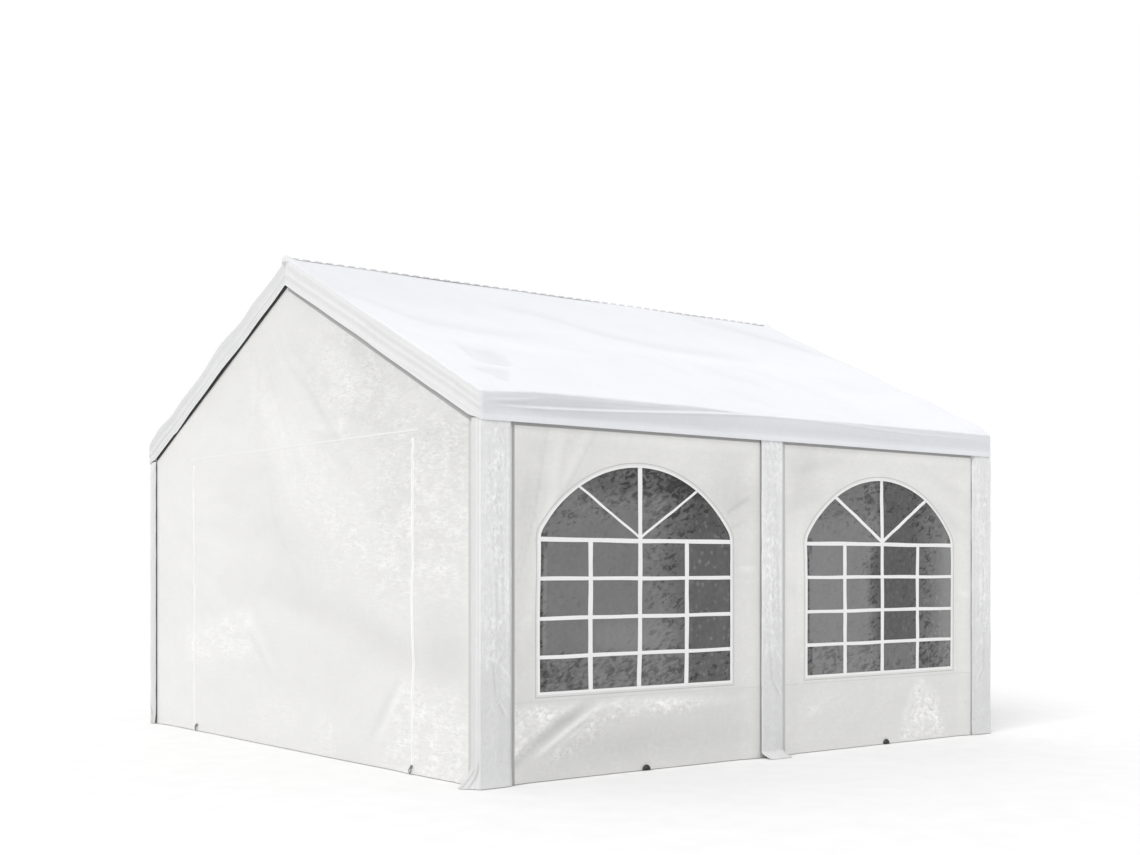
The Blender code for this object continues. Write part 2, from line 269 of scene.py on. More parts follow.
def select_only(*objects):
    bpy.ops.object.select_all(action="DESELECT")
    for obj in objects:
        obj.select_set(True)
    bpy.context.view_layer.objects.active = objects[0]


def points_of(obj):
    points = np.empty(len(obj.data.vertices) * 3, np.float64)
    obj.data.vertices.foreach_get("co", points)
    return points.reshape(-1, 3)


def set_points(obj, points):
    obj.data.vertices.foreach_set("co", np.ascontiguousarray(points, np.float64).ravel())
    obj.data.update()


def normals_of(obj):
    normals = np.empty(len(obj.data.vertices) * 3, np.float64)
    obj.data.vertices.foreach_get("normal", normals)
    return normals.reshape(-1, 3)


def write_attribute(obj, name, values):
    if name in obj.data.attributes:
        obj.data.attributes.remove(obj.data.attributes[name])
    kind, key = ("FLOAT_VECTOR", "vector") if values.ndim == 2 else ("FLOAT", "value")
    layer = obj.data.attributes.new(name, kind, "POINT")
    layer.data.foreach_set(key, np.ascontiguousarray(values, np.float32).ravel())


def read_vectors(obj, name):
    values = np.empty(len(obj.data.vertices) * 3, np.float32)
    obj.data.attributes[name].data.foreach_get("vector", values)
    return values.reshape(-1, 3).astype(np.float64)


def grid(name, columns, rows, place):
    """A grid that place(u, v) lays in space, for u and v from 0 to 1."""
    bpy.ops.object.select_all(action="DESELECT")
    bpy.ops.mesh.primitive_grid_add(x_subdivisions=columns, y_subdivisions=rows, size=1.0)
    obj = bpy.context.object
    obj.name = obj.data.name = name
    flat = points_of(obj) + 0.5
    set_points(obj, place(flat[:, 0], flat[:, 1]))
    return obj


def join(name, objects):
    select_only(*objects)
    bpy.ops.object.join()
    obj = bpy.context.object
    obj.name = obj.data.name = name
    return obj


def edit_points(obj, chosen):
    """Opens a mesh for editing, with the chosen points selected."""
    select_only(obj)
    bpy.ops.object.mode_set(mode="EDIT")
    bpy.ops.mesh.select_mode(type="VERT")
    bpy.ops.mesh.select_all(action="DESELECT")
    bpy.ops.object.mode_set(mode="OBJECT")
    obj.data.vertices.foreach_set("select", chosen)
    bpy.ops.object.mode_set(mode="EDIT")


def merge(obj, distance, chosen=None):
    """Merges points closer than distance: all of them, or the chosen ones."""
    edit_points(obj, np.ones(len(obj.data.vertices), bool) if chosen is None else chosen)
    bpy.ops.mesh.remove_doubles(threshold=distance)
    bpy.ops.object.mode_set(mode="OBJECT")


def delete_points(obj, chosen):
    edit_points(obj, chosen)
    bpy.ops.mesh.delete(type="VERT")
    bpy.ops.object.mode_set(mode="OBJECT")


def flip(obj):
    """Turns the faces of a sheet the other way."""
    select_only(obj)
    bpy.ops.object.mode_set(mode="EDIT")
    bpy.ops.mesh.select_all(action="SELECT")
    bpy.ops.mesh.flip_normals()
    bpy.ops.object.mode_set(mode="OBJECT")


def apply_modifier(obj, kind, **settings):
    select_only(obj)
    modifier = obj.modifiers.new(kind.lower(), kind)
    for key, value in settings.items():
        setattr(modifier, key, value)
    bpy.ops.object.modifier_apply(modifier=modifier.name)


def repeat(obj, count, step):
    """Makes a row of count copies of a piece, each one step further."""
    apply_modifier(
        obj,
        "ARRAY",
        count=count,
        use_relative_offset=False,
        use_constant_offset=True,
        constant_offset_displace=step,
    )


def thicken(obj, thickness=CLOTH_THICKNESS):
    """Gives a sheet its thickness on the inner side, so that its outer face stays."""
    apply_modifier(obj, "SOLIDIFY", thickness=thickness, offset=-1.0, use_even_offset=False)


def smooth(obj, angle=60.0):
    select_only(obj)
    bpy.ops.object.shade_smooth_by_angle(angle=math.radians(angle), keep_sharp_edges=False)


def finish(obj, material, replaced=()):
    """Gives a piece its material, hangs it on the tent and hides the solids it stands for."""
    obj.data.materials.clear()
    obj.data.materials.append(material)
    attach(obj, "root")
    if replaced:
        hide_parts(*replaced)
    return obj


def bake_place(obj):
    select_only(obj)
    bpy.ops.object.transform_apply(location=True, rotation=True, scale=True)


def block(name, size, centre):
    bpy.ops.object.select_all(action="DESELECT")
    bpy.ops.mesh.primitive_cube_add(size=1.0, location=centre)
    obj = bpy.context.object
    obj.name = obj.data.name = name
    obj.scale = size
    bake_place(obj)
    return obj


def push_out(obj, height):
    """Moves each point along its normal."""
    set_points(obj, points_of(obj) + normals_of(obj) * height[:, None])


# Materials

class Nodes:
    """Builds one node material."""

    def __init__(self, name):
        self.material = bpy.data.materials.new(name)
        self.material.use_nodes = True
        self.tree = self.material.node_tree
        self.shader = self.tree.nodes["Principled BSDF"]

    def add(self, kind, inputs=(), **settings):
        node = self.tree.nodes.new("ShaderNode" + kind)
        for key, value in settings.items():
            setattr(node, key, value)
        for key, value in dict(inputs).items():
            if isinstance(value, bpy.types.NodeSocket):
                self.tree.links.new(value, node.inputs[key])
            else:
                node.inputs[key].default_value = value
        return node

    def math(self, operation, first, second=0.0):
        return self.add("Math", {0: first, 1: second}, operation=operation).outputs[0]

    def link(self, socket, key):
        self.tree.links.new(socket, self.shader.inputs[key])

    def places(self, scale=(1.0, 1.0, 1.0), turn=0.0):
        """Object coordinates, turned about X and then stretched by scale."""
        sockets = {"Vector": self.add("TexCoord").outputs["Object"]}
        sockets["Scale"] = tuple(1.0 / step for step in scale)
        sockets["Rotation"] = (turn, 0.0, 0.0)
        return self.add("Mapping", sockets, vector_type="TEXTURE").outputs[0]

    def attribute(self, name):
        return self.add("Attribute", attribute_name=name).outputs["Fac"]

    def noise(self, places, scale, detail=3.0, roughness=0.55, distortion=0.0):
        sockets = {"Vector": places, "Scale": scale, "Detail": detail}
        sockets.update({"Roughness": roughness, "Distortion": distortion})
        return self.add("TexNoise", sockets).outputs[0]

    def bump(self, height, distance, strength=1.0, below=None):
        sockets = {"Height": height, "Distance": distance, "Strength": strength}
        if below is not None:
            sockets["Normal"] = below
        return self.add("Bump", sockets).outputs[0]


def weave(nodes, warp, weft):
    """The fine flat tapes of woven polyethylene, crossing along two axes."""
    places = nodes.places()
    sockets = {"Vector": places, "Scale": 95.0, "Distortion": 0.0}
    first = nodes.add("TexWave", sockets, wave_type="BANDS", bands_direction=warp).outputs["Fac"]
    second = nodes.add("TexWave", sockets, wave_type="BANDS", bands_direction=weft).outputs["Fac"]
    return nodes.math("MULTIPLY", first, second)


def cloth_material(name, colour, warp, weft, stretch, tone_depth, painted_glint_depth, crease):
    """Coated woven cloth: a fine weave all over, creases that gather where crinkle is high with painted glints
    over them, and the painted light and shade of the piece's folds in its base colour.

    The creases run along the axis that stretch leaves at the smallest scale.
    """
    nodes = Nodes(name)
    crinkle = nodes.attribute("crinkle")
    tone = nodes.attribute("tone")
    creases = nodes.noise(nodes.places(stretch), 15.0, 5.0, 0.68, 0.35)
    broad = nodes.noise(nodes.places((1.0, 1.0, 2.4)), 1.9, 3.0, 0.6)
    ripple = nodes.noise(nodes.places(), 5.0, 2.0, 0.5, 0.6)
    clump = nodes.noise(nodes.places((1.0, 1.0, 1.4)), 7.5, 4.0, 0.65, 0.3)
    level = nodes.noise(nodes.places((1.0, 1.0, 14.0)), 14.0, 3.0, 0.6)
    upright = nodes.noise(nodes.places((14.0, 14.0, 1.0)), 10.0, 3.0, 0.6)
    threads = nodes.math("MULTIPLY", nodes.math("SUBTRACT", nodes.math("ADD", level, upright), 1.0), 0.07)
    # Painted glints: the creases are painted lighter and darker in the base colour, in clumps, most where crinkle
    # is high.
    glint = nodes.add("MapRange", {"Value": creases, 1: 0.34, 2: 0.68, 3: -0.85, 4: 0.85}).outputs[0]
    gather = nodes.add("MapRange", {"Value": clump, 1: 0.42, 2: 0.60, 3: 0.32, 4: 1.15}).outputs[0]
    glint = nodes.math("MULTIPLY", glint, gather)
    glint = nodes.math("ADD", glint, nodes.math("MULTIPLY", nodes.math("SUBTRACT", gather, 0.7), 0.45))
    painted_glint = nodes.math("MULTIPLY", nodes.math("MULTIPLY", glint, crinkle), painted_glint_depth)
    # Painted light and shade of the piece's folds, dents and zones.
    shade = nodes.math("MULTIPLY", tone, tone_depth)
    drift = nodes.math("MULTIPLY", nodes.math("SUBTRACT", broad, 0.5), 0.09)
    factor = nodes.math("ADD", nodes.math("ADD", shade, drift), nodes.math("ADD", painted_glint, 1.0))
    factor = nodes.math("ADD", factor, threads)
    plain = (sum(colour) / 3.0,) * 3
    to_grey = {0: np.subtract(plain, colour), "Scale": nodes.attribute("grey")}
    tint = nodes.add("VectorMath", to_grey, operation="SCALE").outputs[0]
    tint = nodes.add("VectorMath", {0: tint, 1: colour}, operation="ADD").outputs[0]
    tinted = nodes.add("VectorMath", {0: tint, "Scale": factor}, operation="SCALE").outputs[0]
    nodes.link(tinted, "Base Color")
    nodes.link(nodes.add("Math", {0: ripple, 1: 0.14, 2: 0.36}, operation="MULTIPLY_ADD").outputs[0], "Roughness")
    nodes.shader.inputs["Specular IOR Level"].default_value = 0.45
    weave_bump = nodes.bump(weave(nodes, warp, weft), 0.0002, 0.3)
    crease_bump = nodes.bump(nodes.math("MULTIPLY", creases, crinkle), crease, 0.9, weave_bump)
    nodes.link(nodes.bump(ripple, 0.002, 0.35, crease_bump), "Normal")
    return nodes.material


def film_material(colour):
    """Clear film drawn as a glossy dark sheet whose colour paints the shaded inside seen through it, with rippled
    and speckled patches and painted reflections of its ripples.
    """
    nodes = Nodes("window_film")
    tone = nodes.attribute("tone")
    rippled = nodes.attribute("crinkle")
    waves = nodes.noise(nodes.places((1.0, 1.0, 0.5)), 6.0, 2.0, 0.5, 1.5)
    marks = nodes.noise(nodes.places((1.0, 1.0, 2.0), 0.35), 21.0, 2.0, 0.5, 0.8)
    mottle = nodes.noise(nodes.places(), 34.0, 2.0)
    dots = nodes.add("TexVoronoi", {"Vector": nodes.places(), "Scale": 24.0}).outputs["Distance"]
    # Painted reflections of the ripples: darker in their hollows, lighter on their crests.
    raised = nodes.math("ADD", marks, nodes.math("MULTIPLY", nodes.math("SUBTRACT", 1.0, rippled), 0.12))
    hollow = nodes.add("MapRange", {"Value": raised, 1: 0.38, 2: 0.52, 3: -0.55, 4: 0.0}).outputs[0]
    crest = nodes.add("MapRange", {"Value": marks, 1: 0.53, 2: 0.66, 3: 0.0, 4: 0.26}).outputs[0]
    ripple_reflection = nodes.math("ADD", hollow, nodes.math("MULTIPLY", crest, rippled))
    dark = nodes.math("MULTIPLY", ripple_reflection, nodes.math("MINIMUM", nodes.math("MULTIPLY", rippled, 3.0), 1.0))
    swim = nodes.math("MULTIPLY", nodes.math("SUBTRACT", waves, 0.5), 0.20)
    grain = nodes.math("MULTIPLY", nodes.math("SUBTRACT", mottle, 0.5), 0.30)
    speck = nodes.add("MapRange", {"Value": dots, 1: 0.14, 2: 0.40, 3: 1.0, 4: 0.0}).outputs[0]
    gaps = nodes.add("MapRange", {"Value": mottle, 1: 0.42, 2: 0.56, 3: 0.1, 4: 1.0}).outputs[0]
    light = nodes.math("MULTIPLY", nodes.math("MULTIPLY", speck, gaps), nodes.attribute("dots"))
    # Painted light and dark zones of reflection and shade, with the ripple reflections, waves, specks and grain.
    factor = nodes.math("ADD", nodes.math("MULTIPLY", tone, 0.3), dark)
    factor = nodes.math("ADD", nodes.math("ADD", factor, swim), nodes.math("MULTIPLY", light, 0.72))
    factor = nodes.math("ADD", factor, grain)
    factor = nodes.math("MAXIMUM", nodes.math("ADD", factor, 1.0), 0.12)
    tinted = nodes.add("VectorMath", {0: colour, "Scale": factor}, operation="SCALE").outputs[0]
    nodes.link(tinted, "Base Color")
    nodes.shader.inputs["Roughness"].default_value = 0.16
    nodes.shader.inputs["Specular IOR Level"].default_value = 0.5
    wave_bump = nodes.bump(waves, 0.010, 0.5)
    nodes.link(nodes.bump(nodes.math("MULTIPLY", marks, rippled), 0.006, 0.6, wave_bump), "Normal")
    return nodes.material


def plain_cloth_material(name, colour, rough, scale=60.0, depth=0.0006):
    """Tape, webbing and welded strips: one colour with a fine grain and slight wear."""
    nodes = Nodes(name)
    places = nodes.places()
    grain = nodes.noise(places, scale, 3.0)
    wear = nodes.noise(places, 5.0, 2.0)
    factor = nodes.math("MULTIPLY_ADD", wear, 0.08)
    factor.node.inputs[2].default_value = 0.96
    tinted = nodes.add("VectorMath", {0: colour, "Scale": factor}, operation="SCALE").outputs[0]
    nodes.link(tinted, "Base Color")
    nodes.shader.inputs["Roughness"].default_value = rough
    nodes.link(nodes.bump(grain, depth, 0.6), "Normal")
    return nodes.material


def galvanised_material(name, colour, rough):
    """Zinc-coated steel: grey spangle, with brighter rubbed spots."""
    nodes = Nodes(name)
    places = nodes.places()
    spangle = nodes.add("TexVoronoi", {"Vector": places, "Scale": 90.0}).outputs["Distance"]
    cloud = nodes.noise(places, 14.0, 4.0)
    factor = nodes.math("ADD", nodes.math("MULTIPLY", spangle, 0.25), nodes.math("MULTIPLY_ADD", cloud, 0.2))
    factor = nodes.math("ADD", factor, 0.78)
    tinted = nodes.add("VectorMath", {0: colour, "Scale": factor}, operation="SCALE").outputs[0]
    nodes.link(tinted, "Base Color")
    nodes.shader.inputs["Metallic"].default_value = 0.85
    grade = nodes.math("MULTIPLY_ADD", cloud, 0.22)
    grade.node.inputs[2].default_value = rough
    nodes.link(grade, "Roughness")
    nodes.link(nodes.bump(spangle, 0.0002, 0.3), "Normal")
    return nodes.material


# Roof cover

def slope_point(y, up_from_eave):
    """Where a point of the right slope lies, with its folded edges rounded."""
    normal = np.array([math.sin(SLOPE), 0.0, math.cos(SLOPE)])
    up = np.array([-math.cos(SLOPE), 0.0, math.sin(SLOPE)])
    from_eave, sink_eave = rounding(up_from_eave, EAVE_RADIUS, math.pi / 2 - SLOPE)
    from_ridge, sink_ridge = rounding(SLOPE_LENGTH - up_from_eave, RIDGE_RADIUS, 2.0 * SLOPE)
    height = np.where(up_from_eave < SLOPE_LENGTH / 2, from_eave, SLOPE_LENGTH - from_ridge)
    from_gable, sink_gable = rounding(HALF_LENGTH - np.abs(y), GABLE_RADIUS, math.pi / 2)
    base = np.array([HALF_WIDTH, 0.0, EAVE_HEIGHT])
    points = base + height[:, None] * up - (sink_eave + sink_ridge + sink_gable)[:, None] * normal
    points[:, 1] = np.sign(y) * (HALF_LENGTH - from_gable)
    return points


def turned(points, turn):
    """The same points for the right side of the tent, or turned half round for the left."""
    return points * np.array([turn, turn, 1.0])


def slope_panel(turn):
    lay = []

    def place(u, v):
        y = HALF_LENGTH * (2.0 * crowded(u, 0.85) - 1.0)
        up = SLOPE_LENGTH * crowded(v, 0.8)
        lay.append(np.stack([y * turn, up, np.full_like(u, SLOPE_PANEL)], axis=1))
        return turned(slope_point(y, up), turn)

    obj = grid("slope", 150, 76, place)
    write_attribute(obj, "lay", lay[0])
    return obj


def valance_panel(turn):
    lay = []

    def place(u, v):
        y = HALF_LENGTH * (2.0 * crowded(u, 0.85) - 1.0)
        down = VALANCE_DEPTH * (1.0 - crowded(v, 0.4))
        from_eave, sink_eave = rounding(down, EAVE_RADIUS, math.pi / 2 - SLOPE)
        from_corner, sink_corner = rounding(HALF_LENGTH - np.abs(y), GABLE_RADIUS, math.pi / 2)
        x = HALF_WIDTH - sink_eave - sink_corner
        lay.append(np.stack([y * turn, down, np.full_like(u, VALANCE_PANEL)], axis=1))
        points = np.stack([x, np.sign(y) * (HALF_LENGTH - from_corner), EAVE_HEIGHT - from_eave], axis=1)
        return turned(points, turn)

    obj = grid("valance", 150, 44, place)
    write_attribute(obj, "lay", lay[0])
    return obj


def band_panel(turn):
    """The strip that hangs from the roof's edge over the top of a gable wall."""
    lay = []

    def place(u, v):
        side = np.sign(2.0 * u - 1.0)
        reach = crowded(np.abs(2.0 * u - 1.0), 0.8)
        x = side * HALF_WIDTH * reach
        square_depth = VALANCE_DEPTH - BAND_DEPTH / math.cos(SLOPE)
        drop = BAND_DEPTH / math.cos(SLOPE) + square_depth * fade((np.abs(x) - 1.88) / 0.12)
        down = drop * (1.0 - crowded(v, 0.4))
        from_edge, sink_edge = rounding(down * math.cos(SLOPE), GABLE_RADIUS, math.pi / 2)
        from_corner, sink_corner = rounding(HALF_WIDTH - np.abs(x), GABLE_RADIUS, math.pi / 2)
        _, sink_ridge = rounding(SLOPE_LENGTH * reach, RIDGE_RADIUS, 2.0 * SLOPE)
        shift = from_edge - down * math.cos(SLOPE)
        z = roof_height(x) - down - (shift + sink_ridge) * math.cos(SLOPE)
        x = np.where(from_corner > HALF_WIDTH - np.abs(x) + 1e-9, side * (HALF_WIDTH - from_corner), x)
        x = x - side * (shift + sink_ridge) * math.sin(SLOPE)
        y = -(HALF_LENGTH - sink_edge - sink_corner)
        lay.append(np.stack([x, down * math.cos(SLOPE), np.full_like(u, BAND_PANEL)], axis=1))
        return turned(np.stack([x, y, z], axis=1), turn)

    obj = grid("band", 152, 44, place)
    write_attribute(obj, "lay", lay[0])
    return obj


def slope_folds(y, up, sag):
    """Sag between the frames, and the long soft folds and small dents of the roof, with their painted light and
    shade.
    """
    bay = np.sin(np.pi * np.clip(np.abs(y) / 1.94, 0.0, 1.0))
    rise = np.sin(np.pi * np.clip(up / SLOPE_LENGTH, 0.0, 1.0))
    height = -sag * bay**1.5 * rise
    # Painted light and shade: darker up towards the ridge and high up near the front, lighter towards the rear;
    # the creases and strokes below add painted shade and light along the folds.
    tone = 0.25 - 0.9 * fade((up - 1.0) / 1.0) - 0.6 * fade((-y - 0.4) / 1.4) * fade((up - 0.9) / 0.8)
    tone += 0.5 * fade((y + 0.6) / 2.0)
    for stops, line, width, lift, shade in (
        (
            (-0.90, -0.58, -0.41, -0.29, -0.12, 0.04, 0.95),
            (1.76, 1.69, 1.58, 1.43, 1.32, 1.22, 1.26),
            0.075,
            -0.010,
            -1.6,
        ),
        ((-2.05, -1.88, -1.66, -1.27, -0.80), (1.75, 1.50, 1.20, 1.14, 1.12), 0.085, -0.008, -1.3),
        ((1.05, 1.35, 1.60, 1.80, 2.05), (2.12, 2.02, 1.86, 1.66, 1.36), 0.120, -0.006, -1.7),
        ((-2.02, -1.70, -1.30, -0.70), (1.00, 0.90, 0.86, 0.84), 0.090, 0.008, 0.6),
        ((-0.60, 0.30, 1.30), (1.08, 1.02, 1.10), 0.060, 0.006, 0.5),
        ((-1.55, -1.38, -1.20), (0.42, 0.44, 0.45), 0.014, -0.002, -0.5),
    ):
        height += crease(y, up, stops, line, width, lift)
        tone += crease(y, up, stops, line, width, shade)
    for start, end, width, lift, shade in (
        ((-0.25, 1.02), (-0.08, 0.62), 0.050, -0.004, -0.7),
        ((0.12, 0.88), (0.56, 0.56), 0.055, -0.004, -0.9),
        ((0.55, 1.02), (1.05, 0.66), 0.060, -0.004, -0.6),
        ((1.15, 1.10), (1.70, 0.62), 0.060, -0.004, -0.6),
        ((-0.40, 0.52), (-0.33, 0.16), 0.030, -0.003, -0.5),
        ((0.00, 0.46), (0.24, 0.12), 0.035, -0.004, -0.7),
        ((0.70, 0.80), (1.10, 0.40), 0.050, -0.004, -0.5),
        ((-1.74, 0.46), (-1.50, 0.425), 0.012, 0.003, 1.4),
    ):
        height += stroke(y, up, start, end, width, lift)
        tone += stroke(y, up, start, end, width, shade)
    upper_lows = (0.53, 0.45, 0.42, 0.43, 0.50, 0.69)
    upper_highs = (0.52, 0.84, 0.76, 0.75, 0.77, 0.68)
    upper_dent = between(y, up, (-1.72, -1.66, -1.60, -1.54, -1.47, -1.41), upper_lows, upper_highs, 0.045)
    lower_lows = (0.36, 0.28, 0.27, 0.17, 0.18, 0.31, 0.40)
    lower_highs = (0.35, 0.41, 0.41, 0.415, 0.415, 0.41, 0.39)
    lower_dent = between(y, up, (-1.85, -1.80, -1.77, -1.745, -1.71, -1.61, -1.57), lower_lows, lower_highs, 0.030)
    # Painted shade in the two dents.
    tone -= upper_dent * (1.2 + 0.7 * fade((y + 1.66) / 0.14) - 0.9 * fade((y + 1.54) / 0.12)) + 1.6 * lower_dent
    height -= 0.007 * upper_dent + 0.005 * lower_dent
    height += 0.017 * np.exp(-((up / 0.11) ** 2)) * fade((y + 1.98) / 0.35) * fade((-0.10 - y) / 0.60)
    height += facets(y, up, 11, 0.45, 0.0012) * bay * rise
    free = fade(np.minimum(np.abs(y), 1.92 - np.abs(y)) / 0.22) * fade(np.minimum(up, SLOPE_LENGTH - up) / 0.12)
    return np.maximum(height, 0.0) + np.minimum(height, 0.0) * free, tone


def valance_folds(y, down):
    """A long fold that runs from the corner up to the eave, over a flared hem, with its painted light and shade.
    """
    depth = down / VALANCE_DEPTH
    hold = fade((HALF_LENGTH - np.abs(y)) / 0.10)
    rise = fade((y + 1.90) / 2.2)
    line = 0.066 - 0.070 * rise + 0.036 * fade((y + 0.1) / 1.5)
    strength = np.interp(y, [-1.90, -1.65, -0.5, -0.1, 0.3, 0.8, 1.8], [0.0, 1.0, 1.0, 0.5, 0.2, 0.4, 0.1])
    above = fade((line - down) / 0.010) * fade((y + 1.96) / 0.25) * np.interp(y, [-0.1, 0.3], [1.0, 0.3])
    height = 0.0060 * strength * np.exp(-(((down - line) / 0.008) ** 2)) - 0.0040 * above
    height += 0.002 * np.sin(2.3 * y + 1.0) * fade(depth * 1.4)
    height += 0.015 * np.exp(-((down / 0.06) ** 2)) * fade((y + 1.98) / 0.35) * fade((-0.10 - y) / 0.60)
    height -= 0.0030 * np.exp(-(((depth - 0.60) / 0.18) ** 2))
    height += 0.0060 * fade((depth - 0.62) / 0.38) * (0.8 + 0.3 * np.sin(4.1 * y))
    # Painted light and shade: the valance darker than the roof with a paler hem, a painted highlight along the
    # long fold and painted shade above it and under it.
    tone = 1.3 * fade((depth - 0.74) / 0.10) - 1.25 - 0.5 * np.exp(-(((depth - 0.55) / 0.20) ** 2))
    tone += 4.4 * strength * np.exp(-(((down - line) / 0.0045) ** 2)) - 1.3 * above
    tone += 1.3 * above * np.exp(-(((down - 0.55 * line) / 0.004) ** 2)) * fade((y + 1.5) / 0.3)
    tone -= 1.2 * fade(1.0 - (down - line) / 0.022) * fade((down - line - 0.004) / 0.004) * strength
    for start, end, shade in (
        ((-1.97, 0.040), (-1.62, 0.014), 1.4),
        ((-1.96, 0.056), (-1.70, 0.040), -1.0),
        ((-1.80, 0.110), (-0.60, 0.096), 0.6),
        ((0.50, 0.060), (1.90, 0.080), 0.4),
    ):
        tone += stroke(y, down, start, end, 0.006, shade, 0.004)
        height += stroke(y, down, start, end, 0.006, 0.0025 * shade, 0.004)
    return height * hold, tone


def band_folds(x, down):
    """Folds that run down the slope: soft ones on the right, two tight ones by the hem on the left, with their
    painted light and shade.
    """
    along = np.abs(x) / math.cos(SLOPE)
    wander = 0.004 * np.sin(2.1 * along + 0.4) + 0.002 * np.sin(5.7 * along + 1.0)
    on_right = x > 0.0
    height = np.zeros_like(x)
    # Painted shade: the band darker than the roof, more on the left, with painted light and shade along its folds
    # and a paler hem.
    tone = np.where(on_right, -2.4, -3.4)
    for right, start, end, width, lift, shade in (
        (True, 0.018, 0.036, 0.009, 0.0030, 0.7),
        (True, 0.044, 0.058, 0.008, -0.0030, -1.0),
        (True, 0.074, 0.070, 0.010, 0.0040, 1.0),
        (True, 0.102, 0.088, 0.008, -0.0030, -0.9),
        (True, 0.122, 0.116, 0.009, 0.0030, 0.9),
        (False, 0.040, 0.055, 0.014, -0.0030, -0.8),
        (False, 0.086, 0.078, 0.006, 0.0040, 1.8),
        (False, 0.104, 0.112, 0.006, 0.0040, 2.4),
        (False, 0.095, 0.097, 0.005, -0.0030, -1.0),
    ):
        swell = 0.7 + 0.3 * np.sin(2.6 * along + start * 90.0)
        line = start + (end - start) * along / SLOPE_LENGTH + wander
        fold = swell * np.exp(-(((down - line) / width) ** 2)) * (on_right == right)
        height += lift * fold
        tone += shade * fold
    height += 0.003 * fade((down - 0.12) / 0.022)
    tone += np.where(on_right, 0.6, 1.6) * fade((down - 0.128) / 0.008)
    return height * fade(down / 0.02), tone


def by_panel(kind, slope, valance, band):
    """For each point of the cover, the value of the kind of panel that it lies on."""
    return np.where(kind < 0.5, slope, np.where(kind < 1.5, valance, band))


def shape_cover(cover, sag):
    """Moves the cover's points along their normals into its folds, and paints the light and shade of its folds
    into its colour.
    """
    lay = read_vectors(cover, "lay")
    first, second, kind = lay.T
    slope_height, slope_tone = slope_folds(first, second, sag)
    valance_height, valance_tone = valance_folds(first, second)
    band_height, band_tone = band_folds(first, second)
    height = by_panel(kind, slope_height, valance_height, band_height)
    tone = by_panel(kind, slope_tone, valance_tone, band_tone)
    points = points_of(cover)
    x, y, z = points.T
    height = height + 0.0016 * np.sin(2.7 * x + 1.9 * y) + 0.0012 * np.sin(6.1 * y - 3.0 * z + 2.0 * x)
    from_gable = HALF_LENGTH - np.abs(y)
    near_edge = fade(1.0 - from_gable / 0.10) * (z > EAVE_HEIGHT + 0.05)
    height += near_edge * 0.004 * (np.sin(5.3 * x + 0.7) + 0.6 * np.sin(13.0 * x))
    tip = np.exp(-((x / 0.03) ** 2)) * np.exp(-((from_gable / 0.03) ** 2)) * (z > RIDGE_HEIGHT - 0.03)
    lifted = points + normals_of(cover) * (height + 0.020 * tip)[:, None]
    across = np.where(y < 0.0, -x, x)
    puff = 0.027 * np.exp(-(((across - 1.84) / 0.15) ** 2)) + 0.021 * np.exp(-(((across - 1.50) / 0.16) ** 2))
    puff += 0.020 * np.exp(-(((across - 0.90) / 0.22) ** 2)) + 0.010 * np.exp(-(((across - 0.45) / 0.10) ** 2))
    puff *= fade(1.0 - from_gable / 0.60) * fade((HALF_WIDTH - np.abs(x)) / 0.05)
    puff *= by_panel(kind, 1.0, 0.0, fade(1.0 - second / BAND_DEPTH))
    upwards = np.stack([np.sign(x) * math.sin(SLOPE), 0.0 * x, math.cos(SLOPE) + 0.0 * x], axis=1)
    flare = 0.024 * (np.maximum(x, y) < 0.0) * np.exp(-((from_gable / 0.14) ** 2))
    flare *= np.exp(-(((z - 1.865) / 0.075) ** 2)) * fade((np.abs(x) - HALF_WIDTH + 0.10) / 0.09)
    outwards = np.stack([np.sign(x), 0.0 * x, 0.0 * x], axis=1)
    set_points(cover, lifted + upwards * puff[:, None] + outwards * flare[:, None])
    write_attribute(cover, "tone", tone)
    write_attribute(cover, "crinkle", by_panel(kind, 0.0, 0.06, 0.10))
    write_attribute(cover, "grey", by_panel(kind, 0.0, 0.0, 0.9))


def build_cover(settings):
    """One cloth: its panels are merged along their edges, and over a wider gap where three of them meet."""
    panels = [slope_panel(1), slope_panel(-1), valance_panel(1), valance_panel(-1), band_panel(1), band_panel(-1)]
    cover = join("roof_cover_cloth", panels)
    merge(cover, 0.0012)
    x, y, z = points_of(cover).T
    eave_corner = (np.abs(x) > HALF_WIDTH - 0.02) & (z > EAVE_HEIGHT - 0.03)
    ridge_end = (np.abs(x) < 0.006) & (z > RIDGE_HEIGHT - 0.02)
    merge(cover, 0.004, (eave_corner | ridge_end) & (np.abs(y) > HALF_LENGTH - 0.02))
    shape_cover(cover, settings.roof_sag)
    thicken(cover)
    smooth(cover, 75.0)
    material = cloth_material("cover_cloth", settings.cover_colour, "Y", "Z", (2.0, 2.0, 2.0), 0.05, 0.15, 0.005)
    finish(cover, material, ["roof_cover"])
    held_by = ["ridge_rail_front", "ridge_rail_rear"]
    held_by += [f"eave_rail_{side}_{end}" for side in ("left", "right") for end in ("front", "rear")]
    held_by += [f"rafter_{end}_{side}" for side in ("left", "right") for end in ("front", "middle", "rear")]


